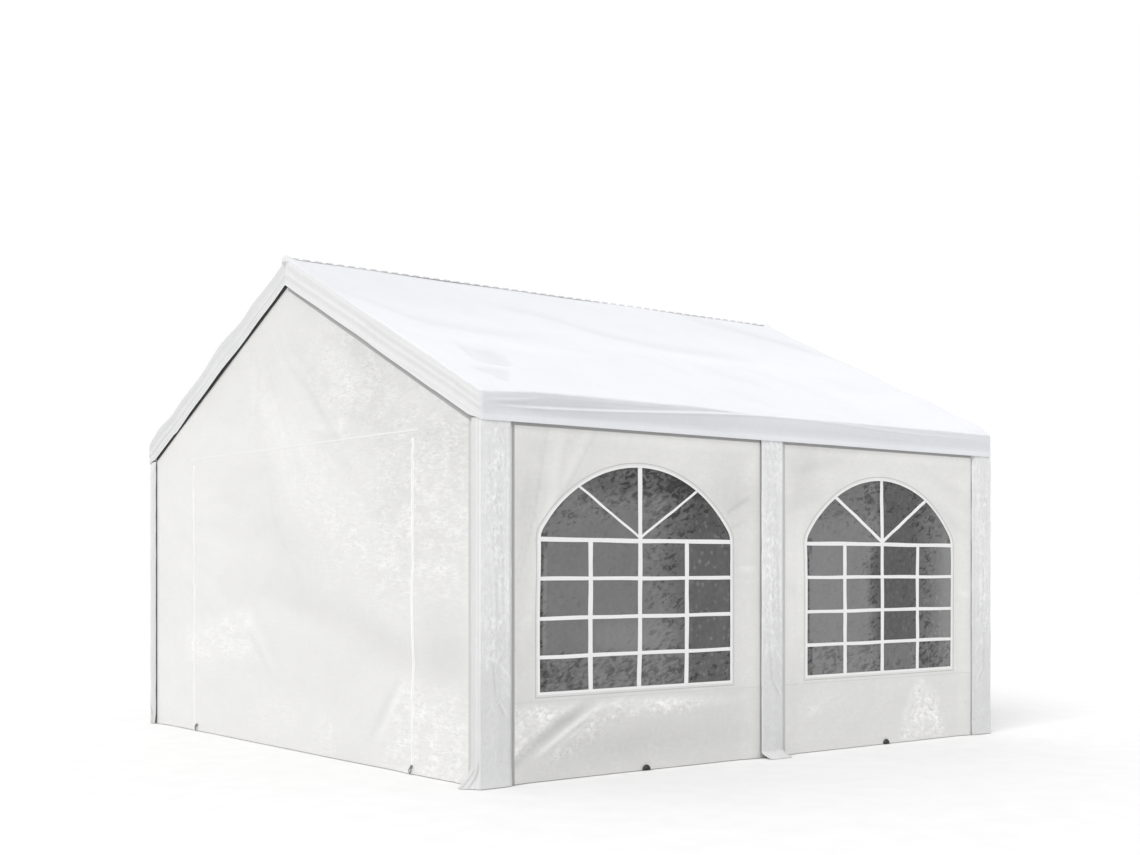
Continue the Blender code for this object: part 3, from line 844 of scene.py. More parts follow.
def build_ridge_seam(settings):
    """The stitched tape along the ridge: one long stitch, repeated down a flat tape."""
    tape_material = plain_cloth_material("ridge_tape", (0.80, 0.81, 0.84), 0.5)

    def place(u, v):
        y = (HALF_LENGTH - 0.03) * (2.0 * u - 1.0)
        x = 0.016 * (2.0 * v - 1.0)
        z = RIDGE_HEIGHT - 0.0010 - 14.0 * x**2
        return np.stack([-x, y, z], axis=1)

    tape = grid("ridge_tape", 160, 6, place)
    thicken(tape, 0.0012)
    smooth(tape)
    finish(tape, tape_material)
    first_place = (0.0, -HALF_LENGTH + 0.06, RIDGE_HEIGHT + 0.0020)
    stitches = block("ridge_stitches", (0.010, 0.045, 0.007), first_place)
    apply_modifier(stitches, "BEVEL", width=0.0018, segments=2)
    count = 52
    repeat(stitches, count, (0.0, (2.0 * HALF_LENGTH - 0.12) / (count - 1), 0.0))
    smooth(stitches)
    finish(stitches, plain_cloth_material("ridge_thread", settings.thread_colour, 0.6))


# Leg sleeves

def sleeve_folds(s, z, low, high, middle, seed):
    """Upright folds, slanting creases and rolled-in edges of a sleeve, with their painted light and shade. s is
    the distance across it.
    """
    height = facets(s, z * 0.45, seed, 0.05, 0.0012)
    height += 0.0030 * np.exp(-(((s - middle - 0.010 * np.sin(3.0 * z + seed)) / 0.030) ** 2))
    height += stroke(s, z, (middle - 0.011, 0.62), (middle + 0.088, 0.50), 0.008, 0.0036, 0.010)
    height += stroke(s, z, (middle - 0.015, 0.44), (middle + 0.073, 0.33), 0.008, 0.0040, 0.006)
    height += stroke(s, z, (middle - 0.03, 0.78), (middle - 0.01, 0.42), 0.010, -0.0030)
    height += stroke(s, z, (middle + 0.03, 1.30), (middle + 0.045, 0.80), 0.010, -0.0028, 0.005)
    height += stroke(s, z, (middle - 0.045, 1.60), (middle - 0.03, 1.05), 0.010, 0.0024)
    height -= 0.011 * fade(1.0 - (high - s) / 0.022) ** 1.5
    height -= 0.005 * fade(1.0 - (s - low) / 0.014) ** 1.5
    # Painted shade in the rolled-in edge, and painted highlights and shade along the folds and creases; the sleeve
    # is also darker towards the bottom.
    tone = 0.85 - 1.6 * fade(1.0 - (high - s) / 0.036) * fade((1.7 - z) / 0.5) - 2.3 * fade((1.1 - z) / 0.8)
    for start, end, width, shade, bow in (
        ((-0.011, 0.62), (0.088, 0.50), 0.005, 3.0, 0.010),
        ((-0.015, 0.44), (0.073, 0.33), 0.005, 3.2, 0.006),
        ((0.040, 0.49), (0.085, 0.42), 0.005, 2.2, 0.004),
        ((-0.022, 0.60), (-0.008, 0.43), 0.007, -2.2, 0.0),
        ((-0.034, 0.46), (0.045, 0.34), 0.006, -2.8, 0.006),
        ((-0.050, 0.67), (-0.062, 0.55), 0.007, 1.8, 0.0),
        ((-0.030, 1.12), (-0.018, 0.74), 0.006, 1.5, 0.003),
        ((-0.012, 1.08), (-0.002, 0.72), 0.007, -1.3, 0.003),
        ((0.016, 1.14), (0.022, 0.80), 0.006, 1.3, -0.003),
        ((0.040, 1.20), (0.046, 0.70), 0.007, -1.1, 0.0),
        ((-0.050, 1.70), (-0.035, 1.20), 0.008, -0.9, 0.0),
        ((0.030, 1.72), (0.050, 1.30), 0.008, 0.9, 0.0),
    ):
        tone += stroke(s - middle, z, start, end, width, shade, bow)
    across = np.exp(-(((s - middle - 0.012 * np.sin(3.0 * z + seed)) / 0.062) ** 2))
    # Painted light and shade of the rolled hem: a light line with a dark line beside it.
    hem_line = np.exp(-(((high - s - 0.030) / 0.004) ** 2)) - np.exp(-(((high - s - 0.018) / 0.005) ** 2))
    tone += 1.3 * hem_line * fade((z - 0.4) / 0.5)
    flecked = ragged(across * fade((z - 0.35) / 0.4), s, z * 0.5, seed, 0.03)
    crinkle = 0.32 + 0.14 * fade((z - 0.45) / 0.3) + 0.54 * flecked
    return height, tone, crinkle


def sleeve_height(v):
    """Heights of a sleeve's rows, which end just under the cover and crowd together at both ends."""
    return WALL_FOOT + (SLEEVE_TOP + SLEEVE_TUCK - WALL_FOOT) * crowded(v, 0.35)


def corner_sleeve(name, left, rear, settings, material):
    """A cloth angle round a corner post. Its folds are drawn for the front right corner and mirrored."""
    low, high = -SLEEVE_EDGE_ON_GABLE, SLEEVE_EDGE_ON_SIDE
    mirror = left != rear
    seed = 21 + 2 * left + rear
    lay = []

    def place(u, v):
        s = high + (low - high) * u if mirror else low + (high - low) * u
        z = sleeve_height(v)
        lay.append(np.stack([s, z, 0.0 * s], axis=1))
        along, sink = rounding(np.abs(s), SLEEVE_RADIUS, math.pi / 2)
        on_side = s > 0.0
        x = np.where(on_side, HALF_WIDTH - sink, HALF_WIDTH - along)
        y = np.where(on_side, -HALF_LENGTH + along, -HALF_LENGTH + sink)
        if mirror:
            x = -x
        turn = -1.0 if rear else 1.0
        return np.stack([turn * x, turn * y, z], axis=1)

    obj = grid(name, 64, 140, place)
    s, z, _ = lay[0].T
    height, tone, crinkle = sleeve_folds(s, z, low, high, high / 2.0, seed)
    tuck = 0.0035 * fade((z - SLEEVE_TOP + 0.03) / 0.03)
    low_part = np.clip(1.0 - (z - WALL_FOOT) / 0.105, 0.0, 1.0)
    reach = np.interp(s, [low, -0.02, 0.02, high], [1.0, 0.35, 0.20, 0.10]) * (0.15 if mirror else 1.0)
    height += settings.hem_kick * low_part**1.7 * reach - tuck
    if left and not rear:
        height += 0.018 * fade((s - 0.01) / 0.05) * (1.0 - tuck / 0.0035)
    height += low_part * (0.006 * np.sin(s / 0.012) * (s < 0.0))
    height += stroke(s, z, (-0.035, 0.10), (-0.055, 0.0), 0.006, -0.008)
    # Painted shade: the sleeve's face on the gable darker than its side, with a lighter streak and darker towards
    # the bottom; a painted dark line at the corner; painted shadows under the kicked-out hem.
    gable_tone = -2.3 + 1.3 * np.exp(-(((s + 0.035) / 0.010) ** 2)) - 0.8 * fade((1.9 - z) / 1.9)
    tone = np.where(s < -0.012, gable_tone, tone)
    tone -= 2.8 * np.exp(-(((s - 0.001) / 0.006) ** 2))
    tone += stroke(s, z, (-0.022, 0.13), (-0.044, -0.02), 0.005, -6.5)
    tone += stroke(s, z, (-0.050, 0.10), (-0.076, -0.02), 0.005, -4.5)
    tone += stroke(s, z, (-0.012, 0.16), (-0.026, 0.04), 0.004, -2.0)
    push_out(obj, height)
    write_attribute(obj, "tone", tone)
    write_attribute(obj, "crinkle", crinkle * (0.3 + 0.7 * (s > 0.0)))
    write_attribute(obj, "grey", fade(-s / 0.01))
    thicken(obj)
    smooth(obj, 80.0)
    side, end = ("right", "left")[left], ("front", "rear")[rear]
    finish(obj, material, [f"corner_sleeve_{end}_{side}"])


def middle_sleeve(face, settings, material):
    """A flat strip over a middle post, with its lower corners kicked out."""
    half = MIDDLE_SLEEVE_EDGE
    lay = []

    def place(u, v):
        s = half * (2.0 * u - 1.0)
        z = sleeve_height(v)
        lay.append(np.stack([s, z, 0.0 * s], axis=1))
        return face.place(s, z, 0.0, HALF_WIDTH)

    obj = grid(f"middle_sleeve_cloth_{face.name}", 40, 140, place)
    s, z, _ = lay[0].T
    height, tone, crinkle = sleeve_folds(s, z, -half, half, 0.0, 30 + face.seed)
    low_part = np.clip(1.0 - (z - WALL_FOOT) / 0.034, 0.0, 1.0)
    height += settings.hem_kick * 0.85 * low_part**1.5 - 0.0035 * fade((z - SLEEVE_TOP + 0.03) / 0.03)
    # Painted shadow under the kicked-out lower corners.
    tone -= 1.6 * low_part * fade((np.abs(s) - 0.055) / 0.03)
    push_out(obj, height)
    write_attribute(obj, "tone", tone)
    write_attribute(obj, "crinkle", crinkle)
    thicken(obj)
    smooth(obj, 80.0)
    finish(obj, material, [f"middle_sleeve_{face.name}"])


# Gable walls and doors

def gable_folds(face, u, z):
    """Height, painted light and shade, and crinkle of a gable's cloth, shared by the wall and its door panel."""
    if face.mirrored:
        u = -u
    under_roof = roof_height(u) - z
    free = fade((1.90 - np.abs(u)) / 0.25) * fade(under_roof / 0.30)
    height = 0.004 * np.sin(1.6 * u + 0.5) * np.sin(1.9 * z + 0.4)
    for start, end, width, lift, bow in (
        ((-0.15, 2.50), (0.70, 1.60), 0.050, 0.0045, 0.04),
        ((-0.30, 2.35), (1.42, 1.02), 0.060, -0.0050, 0.05),
        ((0.05, 2.30), (1.10, 1.25), 0.035, 0.0040, 0.02),
        ((-0.55, 2.10), (0.95, 1.20), 0.070, 0.0055, 0.03),
        ((-0.80, 1.75), (0.60, 1.02), 0.060, -0.0050, 0.03),
        ((-0.90, 1.55), (0.30, 0.95), 0.050, 0.0040, 0.02),
        ((-1.00, 1.05), (1.75, 0.50), 0.110, -0.0120, -0.06),
        ((-0.90, 0.80), (1.10, 0.55), 0.090, 0.0060, 0.03),
        ((-1.30, 0.60), (-0.57, 0.78), 0.060, 0.0060, 0.0),
        ((-0.57, 0.78), (-0.18, 0.46), 0.050, 0.0050, 0.0),
        ((0.20, 1.88), (0.62, 1.82), 0.030, 0.0050, 0.0),
        ((0.55, 2.02), (0.64, 1.72), 0.022, 0.0045, 0.0),
        ((-0.48, 2.30), (-0.48, 1.98), 0.030, 0.0040, 0.0),
        ((1.22, 0.50), (0.90, 0.14), 0.030, -0.0060, 0.01),
        ((1.32, 0.46), (1.02, 0.12), 0.045, 0.0070, 0.01),
        ((1.20, 1.02), (1.30, 0.92), 0.025, 0.0050, 0.0),
        ((0.35, 0.24), (0.66, 0.10), 0.070, 0.0050, 0.03),
        ((-1.80, 1.50), (-1.50, 0.30), 0.080, 0.0040, 0.0),
    ):
        height += stroke(u, z, start, end, width, lift, bow)
    right_sheet = patch(u, z, ((0.82, 0.72), (2.70, 0.70), (2.70, 1.98), (0.78, 1.98)), 0.42)
    low_sheet = patch(u, z, ((0.66, -0.60), (2.60, -0.60), (2.60, 0.53), (1.14, 0.60)), 0.26)
    peak = patch(u, z, ((-1.58, 0.38), (-0.28, 0.44), (-0.50, 0.90), (-1.50, 0.72)), 0.19)
    high_flecks = oval(u, z, (0.62, 2.14), (0.75, 0.42), -0.5)
    shadow_edge = patch(u, z, ((0.40, 1.84), (2.20, 1.30), (2.20, 2.10), (0.60, 2.60)), 0.28)
    shine_stops = (-0.66, -0.45, -0.20, 0.10, 0.45, 0.95, 1.36)
    shine_line = (2.36, 2.12, 1.84, 1.60, 1.42, 1.12, 0.90)
    shine = crease(u, z, shine_stops, shine_line, 0.26, 1.0)
    beside_shine = crease(u, z, (0.10, 0.50, 0.80, 1.32), (1.97, 1.72, 1.52, 1.10), 0.055, 1.0)
    under_shine = crease(u, z, (-1.35, -0.70, -0.10, 0.30, 0.75), (1.74, 1.48, 1.27, 1.14, 1.00), 0.13, 1.0)
    low_stops = (-1.05, -0.40, 0.20, 0.86, 1.41, 1.86, 2.45)
    low_fold = crease(u, z, low_stops, (1.03, 0.95, 0.86, 0.74, 0.57, 0.47, 0.44), 0.13, 1.0)
    foot_left = oval(u, z, (-0.20, 0.20), (0.52, 0.22), 0.1)
    foot_middle = oval(u, z, (0.46, 0.12), (0.28, 0.17))
    patches = 0.85 * right_sheet + low_sheet + 0.9 * peak + 0.55 * high_flecks + 0.30 * shadow_edge + 0.50 * shine
    patches += 0.35 * foot_left + 0.6 * foot_middle + 0.25 * fade((u + 0.1) / 0.9) * fade((z - 0.9) / 0.2)
    crinkle = 0.10 + 0.90 * np.clip(patches, 0.0, 1.0) * (0.62 + 0.38 * ragged(patches, u, z * 2.0, 47, 0.11))
    height += facets(u, z * 2.2, 40 + face.seed, 0.10, 0.0026) * crinkle
    height += facets(u, z, 44 + face.seed, 0.32, 0.0026)
    spread = fan(u, z, (-0.75, 3.0), (-1.30, -0.62), 15, 48) + 0.6 * fan(u, z, (-2.3, 1.7), (-0.75, -0.10), 12, 49)
    height += 0.0030 * spread
    # Painted light and shade: darker towards the right, brighter where the cloth crinkles and glints, along the
    # fan folds and in the bright sheets and the painted sheen band; darker beside and under the sheen, in the
    # shadow by the band, along the low fold and round the fold lines.
    tone = -0.35 - 0.6 * fade((u + 1.9) / 2.6) + 0.25 * crinkle + 0.42 * spread
    tone += 0.2 * right_sheet * fade((1.80 - z) / 0.3) + 1.1 * low_sheet + 1.1 * peak - 0.2 * high_flecks
    tone += 0.85 * shine + 0.4 * foot_left + 0.5 * foot_middle
    tone -= 0.75 * shadow_edge + 0.7 * beside_shine + 0.7 * under_shine + 0.4 * fade((z - 1.9) / 0.3)
    tone -= low_fold * (0.55 + 0.75 * fade((u - 0.2) / 1.3)) + 0.5 * right_sheet * fade((z - 1.25) / 0.3)
    tone += 1.1 * oval(u, z, (0.62, 2.12), (0.40, 0.24), -0.45) + 0.8 * oval(u, z, (0.6, 1.87), (0.07, 0.05))
    tone -= 0.4 * oval(u, z, (1.72, 0.62), (0.42, 0.15)) + 1.0 * oval(u, z, (1.68, 0.76), (0.38, 0.34))
    for start, end, width, shade in (
        ((-0.48, 2.32), (-0.47, 1.96), 0.030, 0.7),
        ((-0.36, 1.92), (-0.36, 1.74), 0.020, 0.5),
        ((-0.10, 2.55), (0.62, 1.72), 0.030, -0.35),
        ((0.20, 1.88), (0.62, 1.82), 0.015, 0.8),
        ((0.55, 2.02), (0.64, 1.72), 0.012, 0.8),
        ((1.22, 0.50), (0.90, 0.14), 0.020, -0.9),
        ((1.30, 0.50), (0.98, 0.12), 0.020, 0.9),
        ((-0.57, 0.80), (-0.16, 0.44), 0.030, 0.7),
        ((-0.60, 0.74), (-0.20, 0.38), 0.020, -0.5),
    ):
        tone += stroke(u, z, start, end, width, shade)
    under_band = fade(1.0 - (under_roof * math.cos(SLOPE) - BAND_DEPTH) / 0.16)
    held = np.maximum(under_band, fade((np.abs(u) - 1.74) / 0.14))
    height = np.maximum(height, 0.0) * (0.25 + 0.75 * free) + np.minimum(height, 0.0) * free
    return height * (1.0 - 0.5 * held) + 0.014 * held, tone, crinkle


def cloth_on_face(obj, face, folds, base_out=0.0):
    """Moves a flat panel's points out of its face into the folds."""
    points = points_of(obj)
    u, z = face.local(points)
    height = folds(face, u, z)[0]
    set_points(obj, face.place(u, z, base_out + height))


def paint_on_face(obj, face, folds):
    """Paints a panel with the light and shade painted for its folds, with its crinkle and specks."""
    u, z = face.local(points_of(obj))
    for name, values in zip(("tone", "crinkle", "dots"), folds(face, u, z)[1:]):
        write_attribute(obj, name, values)


def lay_on_face(obj, face, folds, out, u=0.0):
    """Lays a piece that was made upright, facing -Y, on the cloth of a face, u further along it."""
    points = points_of(obj)
    across, up = points[:, 0] + u, points[:, 2]
    height = folds(face, across, up)[0]
    set_points(obj, face.place(across, up, height + out - points[:, 1]))


def gable_columns(t):
    """Spreads columns so that two of them run along the door's edges."""
    edge = DOOR_EDGE + DOOR_GAP
    stops = [0, *DOOR_COLUMNS, GABLE_COLUMNS]
    return np.interp(t * GABLE_COLUMNS, stops, [-WALL_FACE + 0.002, -edge, edge, WALL_FACE - 0.002])


def build_gable_wall(face, material):
    head = DOOR_HEAD + DOOR_GAP

    def place(u, v):
        across = gable_columns(u)
        top = roof_height(across, WALL_UNDER_ROOF)
        low = WALL_FOOT + (head - WALL_FOOT) * v * GABLE_ROWS / DOOR_ROWS
        high = head + (top - head) * (v * GABLE_ROWS - DOOR_ROWS) / (GABLE_ROWS - DOOR_ROWS)
        return face.place(across, np.where(v * GABLE_ROWS < DOOR_ROWS + 0.5, low, high), 0.0)

    wall = grid(f"gable_wall_cloth_{face.name}", GABLE_COLUMNS, GABLE_ROWS, place)
    u, z = face.local(points_of(wall))
    delete_points(wall, (np.abs(u) < DOOR_EDGE) & (z < DOOR_HEAD))
    cloth_on_face(wall, face, gable_folds)
    thicken(wall)
    paint_on_face(wall, face, gable_folds)
    smooth(wall)
    finish(wall, material, [f"gable_wall_{face.name}"])


def build_door_panel(face, material):
    def place(u, v):
        edge = DOOR_EDGE - 0.0001
        return face.place(edge * (2.0 * u - 1.0), WALL_FOOT + (DOOR_HEAD - WALL_FOOT) * v, 0.0)

    panel = grid(f"door_cloth_{face.name}", DOOR_COLUMNS[1] - DOOR_COLUMNS[0], DOOR_ROWS, place)
    cloth_on_face(panel, face, gable_folds)
    thicken(panel)
    paint_on_face(panel, face, gable_folds)
    smooth(panel)
    finish(panel, material, [f"door_panel_{face.name}"])


def strip_on_face(name, face, folds, u_range, z_range, steps, out, thickness, slanted=None):
    """A flat strip that lies on the cloth of a face, out in front of it."""
    columns, rows = steps

    def place(u, v):
        across = u_range[0] + (u_range[1] - u_range[0]) * u
        up = z_range[0] + (z_range[1] - z_range[0]) * v
        if slanted:
            across, up = slanted(u, v)
        return face.place(across, up, out + folds(face, across, up)[0])

    obj = grid(name, columns, rows, place)
    thicken(obj, thickness)
    smooth(obj)
    return obj


# Zips, seams and trims of the gables

def build_zip(face, side, materials):
    """Tape, two rows of teeth, slider and pull of one door zip."""
    tape_material, teeth_material, pull_material = materials
    name = f"{face.name}_{'left' if side < 0 else 'right'}"
    u = side * (DOOR_EDGE + 0.0002)
    across, up = (u - 0.011, u + 0.011), (WALL_FOOT, ZIP_TOP)
    tape = strip_on_face(f"zip_tape_{name}", face, gable_folds, across, up, (4, 80), 0.0010, 0.0008)
    finish(tape, tape_material)
    teeth = block(f"zip_teeth_{name}", (0.0052, 0.0030, 0.0026), (u - 0.0014, 0.0, 0.02))
    apply_modifier(teeth, "BEVEL", width=0.0006, segments=1)
    repeat(teeth, 2, (0.0028, 0.0, 0.0032))
    repeat(teeth, int((ZIP_TOP - 0.03) / TOOTH_PITCH), (0.0, 0.0, TOOTH_PITCH))
    lay_on_face(teeth, face, gable_folds, 0.0022)
    finish(teeth, teeth_material)
    build_pull(face, name, u + (0.045 if side < 0 else 0.0), pull_material)


def build_pull(face, name, u, material):
    """A slider with a hinged loop that hangs from it."""
    body = block("zip_slider", (0.014, 0.010, 0.018), (u, 0.0, 0.040))
    apply_modifier(body, "BEVEL", width=0.0035, segments=3)
    bpy.ops.object.select_all(action="DESELECT")
    bpy.ops.mesh.primitive_torus_add(
        major_segments=28,
        minor_segments=10,
        major_radius=0.010,
        minor_radius=0.0028,
        location=(u, -0.007, 0.022),
        rotation=(math.pi / 2, 0.0, 0.0),
    )
    loop = bpy.context.object
    loop.scale = (0.85, 1.4, 1.0)
    bake_place(loop)
    pull = join(f"zip_pull_{name}", [body, loop])
    lay_on_face(pull, face, gable_folds, 0.006)
    smooth(pull, 40.0)
    finish(pull, material)


def build_gable_seams(face, material):
    """The sewn line over the door."""
    name = f"door_head_seam_{face.name}"
    heights = (DOOR_HEAD, DOOR_HEAD + 0.008)
    seam = strip_on_face(name, face, gable_folds, (-1.41, 1.385), heights, (120, 3), 0.0010, 0.0007)
    finish(seam, material)


# Side walls and windows

def side_folds(face, u, z):
    """Height, painted light and shade, and crinkle of a long side's cloth."""
    if face.mirrored:
        u = -u
    near_posts = np.minimum(np.abs(u), 1.92 - np.abs(u))
    free = fade((near_posts - 0.02) / 0.22) * fade((1.86 - z) / 0.25)
    height = 0.003 * np.sin(2.1 * u + 0.3) * np.sin(2.2 * z + 1.0)
    for start, end, width, lift, bow in (
        ((-1.52, 1.80), (-1.78, 0.60), 0.045, 0.0050, 0.04),
        ((-1.62, 1.75), (-1.80, 1.05), 0.030, -0.0035, 0.02),
        ((-1.80, 0.26), (-1.22, 0.39), 0.040, 0.0060, 0.0),
        ((-1.90, 0.08), (-1.28, 0.38), 0.032, -0.0090, 0.01),
        ((-1.66, 0.10), (-1.17, 0.37), 0.016, 0.0080, 0.012),
        ((-1.54, 0.13), (-1.00, 0.41), 0.018, 0.0060, 0.015),
        ((-1.45, 0.20), (-0.95, 0.42), 0.020, -0.0040, 0.01),
        ((-1.34, 0.34), (-0.20, 0.33), 0.040, 0.0065, 0.01),
        ((-1.50, 0.08), (-0.20, 0.14), 0.090, -0.0080, 0.03),
        ((-0.40, 1.66), (-0.12, 1.20), 0.050, -0.0050, 0.0),
        ((-0.36, 1.34), (-0.18, 1.48), 0.014, -0.0030, 0.0),
        ((-0.95, 1.74), (-0.55, 1.66), 0.060, 0.0040, 0.0),
        ((0.20, 1.72), (0.40, 1.30), 0.060, -0.0040, 0.0),
        ((0.30, 0.22), (0.62, 0.34), 0.022, 0.0050, 0.0),
        ((1.14, 0.05), (1.31, 0.38), 0.030, 0.0055, 0.0),
        ((1.31, 0.38), (1.56, 0.08), 0.030, 0.0055, 0.0),
        ((0.70, 0.10), (1.70, 0.22), 0.100, -0.0050, 0.0),
        ((1.72, 1.70), (1.80, 0.30), 0.050, 0.0040, 0.0),
        ((0.14, 0.90), (0.24, 0.45), 0.040, 0.0035, 0.0),
    ):
        height += stroke(u, z, start, end, width, lift, bow)
    low_left = patch(u, z, ((-2.10, 0.04), (-1.70, 0.10), (-1.30, 0.40), (-2.10, 0.44)), 0.09)
    fold_ends = patch(u, z, ((-1.78, 0.03), (-1.45, 0.05), (-0.88, 0.40), (-1.24, 0.40)), 0.09)
    peak = patch(u, z, ((1.08, -0.03), (1.62, -0.03), (1.56, 0.27), (1.33, 0.47), (1.18, 0.29)), 0.10)
    ridge_ends = oval(u, z, (-0.85, 0.33), (0.62, 0.07))
    patches = low_left + 0.9 * fold_ends + 0.95 * peak + 0.9 * ridge_ends
    patches = np.clip(patches + 0.5 * oval(u, z, (0.37, 0.24), (0.18, 0.08)), 0.0, 1.0)
    crinkle = 0.14 + 0.86 * patches * (0.45 + 0.55 * ragged(patches, u, z * 1.6, 57, 0.06))
    height += facets(u, z * 1.5, 50 + face.seed, 0.07, 0.0028) * crinkle
    height += facets(u, z, 54 + face.seed, 0.28, 0.0020)
    spread = fan(u, z, (-2.2, 0.05), (0.18, 0.75), 9, 58) * fade((SEAM_HEIGHT + 0.02 - z) / 0.05)
    spread += 0.5 * fan(u, z, (-0.1, 2.2), (-2.6, -2.0), 8, 59) + 0.5 * fan(u, z, (0.1, 2.2), (-1.1, -0.5), 8, 60)
    height += 0.0022 * spread
    # Painted light and shade along the folds and where the cloth crinkles; the cloth is also darker below the seam
    # and where u is below 0.2.
    tone = 0.12 * np.sin(1.4 * u) - 0.25 + 0.45 * spread + 1.0 * crinkle - 0.4 * (z < SEAM_HEIGHT)
    tone -= 0.5 * fade((0.2 - u) / 0.5)
    # Painted light near the top of the wall, which lifts the shade cast by the valance.
    tone += 0.9 * fade((z - 1.45) / 0.2) + 2.0 * fade((z - 1.69) / 0.08)
    tone += 1.9 * low_left + 1.3 * peak + 0.8 * ridge_ends + 0.5 * oval(u, z, (-0.80, 1.70), (0.35, 0.09))
    for start, end, width, shade, bow in (
        ((-1.50, 1.86), (-1.79, 0.55), 0.035, 1.7, 0.05),
        ((-1.58, 1.86), (-1.80, 0.90), 0.008, -1.6, 0.04),
        ((-1.28, 1.88), (-1.66, 1.25), 0.030, 1.1, 0.03),
        ((-1.22, 1.88), (-1.60, 1.30), 0.010, -1.2, 0.03),
        ((-1.84, 0.80), (-1.74, 0.52), 0.030, -1.1, 0.0),
        ((0.40, 1.82), (0.14, 1.30), 0.050, -0.7, 0.0),
        ((-1.45, 1.80), (-1.72, 0.80), 0.012, -0.8, 0.05),
        ((-1.60, 1.80), (-1.80, 1.00), 0.015, -0.8, 0.03),
        ((-1.98, 0.00), (-1.27, 0.385), 0.026, -3.6, 0.01),
        ((-1.84, 0.14), (-1.36, 0.40), 0.013, 1.8, 0.01),
        ((-1.68, 0.11), (-1.20, 0.38), 0.010, 3.4, 0.006),
        ((-1.56, 0.14), (-1.02, 0.42), 0.010, 2.8, 0.010),
        ((-1.40, 0.20), (-0.94, 0.42), 0.009, 1.8, 0.006),
        ((-1.58, 0.14), (-1.10, 0.385), 0.010, -1.4, 0.010),
        ((-1.40, 0.34), (-0.15, 0.34), 0.035, 1.0, 0.0),
        ((-1.75, 0.10), (-0.05, 0.14), 0.100, -1.2, 0.02),
        ((-0.34, 1.36), (-0.16, 1.46), 0.012, -2.4, 0.0),
        ((-0.40, 1.24), (-0.18, 1.34), 0.010, -1.2, 0.0),
        ((-0.26, 1.06), (-0.11, 1.06), 0.012, 2.0, 0.0),
        ((0.11, 1.60), (0.62, 1.70), 0.030, -0.8, 0.0),
        ((0.11, 1.38), (0.42, 1.50), 0.028, -0.7, 0.0),
        ((0.10, 0.98), (0.27, 0.90), 0.030, -0.7, 0.0),
        ((1.32, 1.66), (1.84, 1.50), 0.035, -0.8, 0.0),
        ((1.42, 1.53), (1.84, 1.36), 0.026, 0.7, 0.0),
        ((1.52, 1.42), (1.84, 1.24), 0.026, -0.8, 0.0),
        ((1.68, 0.92), (1.84, 0.88), 0.020, 1.2, 0.0),
        ((0.30, 0.20), (0.62, 0.30), 0.014, 0.9, 0.0),
    ):
        tone += stroke(u, z, start, end, width, shade, bow)
    tone -= 1.1 * oval(u, z, (-0.28, 1.48), (0.26, 0.30), 0.9)
    tone -= 0.9 * oval(u, z, (0.28, 1.62), (0.32, 0.22), -0.9)
    tone -= 0.4 * oval(u, z, (-1.66, 1.45), (0.20, 0.30))
    tone += 1.5 * oval(u, z, (0.20, 1.02), (0.16, 0.62))
    tone += 0.5 * oval(u, z, (0.37, 0.24), (0.12, 0.05)) + 0.5 * oval(u, z, (1.74, 1.0), (0.14, 0.50))
    held = np.maximum(fade((z - 1.60) / 0.15), fade(1.0 - (near_posts - 0.12) / 0.13))
    height = np.maximum(height, 0.0) * (0.2 + 0.8 * free) + np.minimum(height, 0.0) * free
    return height * (1.0 - 0.5 * held) + 0.014 * held, tone, crinkle


def arc(centre, radius, start, end, steps):
    """Points from one angle to another, both included."""
    angles = np.linspace(start, end, steps + 1)
    return [(centre[0] + radius * math.cos(a), centre[1] + radius * math.sin(a)) for a in angles]


def window_outline(margin):
    """The window's outline about its own centre, run margin outside the clear film."""
    rise = WINDOW_CROWN - WINDOW_SPRING
    crown = (WINDOW_HALF**2 + rise**2 - 2 * WINDOW_HALF * WINDOW_SHOULDER) / (2 * (rise - WINDOW_SHOULDER))
    crown_centre = WINDOW_CROWN - crown
    lean = math.atan2(WINDOW_SPRING - crown_centre, WINDOW_HALF - WINDOW_SHOULDER)
    tight = WINDOW_SHOULDER + margin
    right = arc((WINDOW_HALF - WINDOW_SHOULDER, WINDOW_SPRING), tight, 0.0, lean, 10)
    middle = arc((0.0, crown_centre), crown + margin, lean, math.pi - lean, 44)
    left = arc((WINDOW_SHOULDER - WINDOW_HALF, WINDOW_SPRING), tight, math.pi - lean, math.pi, 10)
    base = WINDOW_SILL - margin
    corners = [(-WINDOW_HALF - margin, base), (WINDOW_HALF + margin, base)]
    return corners + right + middle[1:-1] + left


def window_cutter(face, centre, margin):
    """A prism through the wall in the window's outline: a circle whose points are moved, then extruded."""
    depth = 0.12
    outline = np.array(window_outline(margin))
    bpy.ops.object.select_all(action="DESELECT")
    bpy.ops.mesh.primitive_circle_add(vertices=len(outline), radius=1.0, fill_type="NGON")
    cutter = bpy.context.object
    cutter.name = "window_cutter"
    set_points(cutter, face.place(outline[:, 0] + centre, outline[:, 1], -depth / 2.0))
    bpy.ops.object.mode_set(mode="EDIT")
    bpy.ops.mesh.select_all(action="SELECT")
    middle = np.zeros(1)
    outwards = Vector(face.place(middle, middle, 1.0)[0] - face.place(middle, middle, 0.0)[0])
    bpy.ops.mesh.extrude_region_move(TRANSFORM_OT_translate={"value": tuple(outwards * depth)})
    bpy.ops.mesh.select_all(action="SELECT")
    bpy.ops.mesh.normals_make_consistent(inside=False)
    bpy.ops.object.mode_set(mode="OBJECT")
    return cutter


def cut(obj, cutter, operation):
    apply_modifier(obj, "BOOLEAN", object=cutter, operation=operation, solver="EXACT")
    bpy.data.objects.remove(cutter, do_unlink=True)


def bay_name(face, end):
    """The solids are named by the tent's ends, and u runs backwards on the left."""
    return f"{face.name}_{'front' if (end < 0) != face.mirrored else 'rear'}"


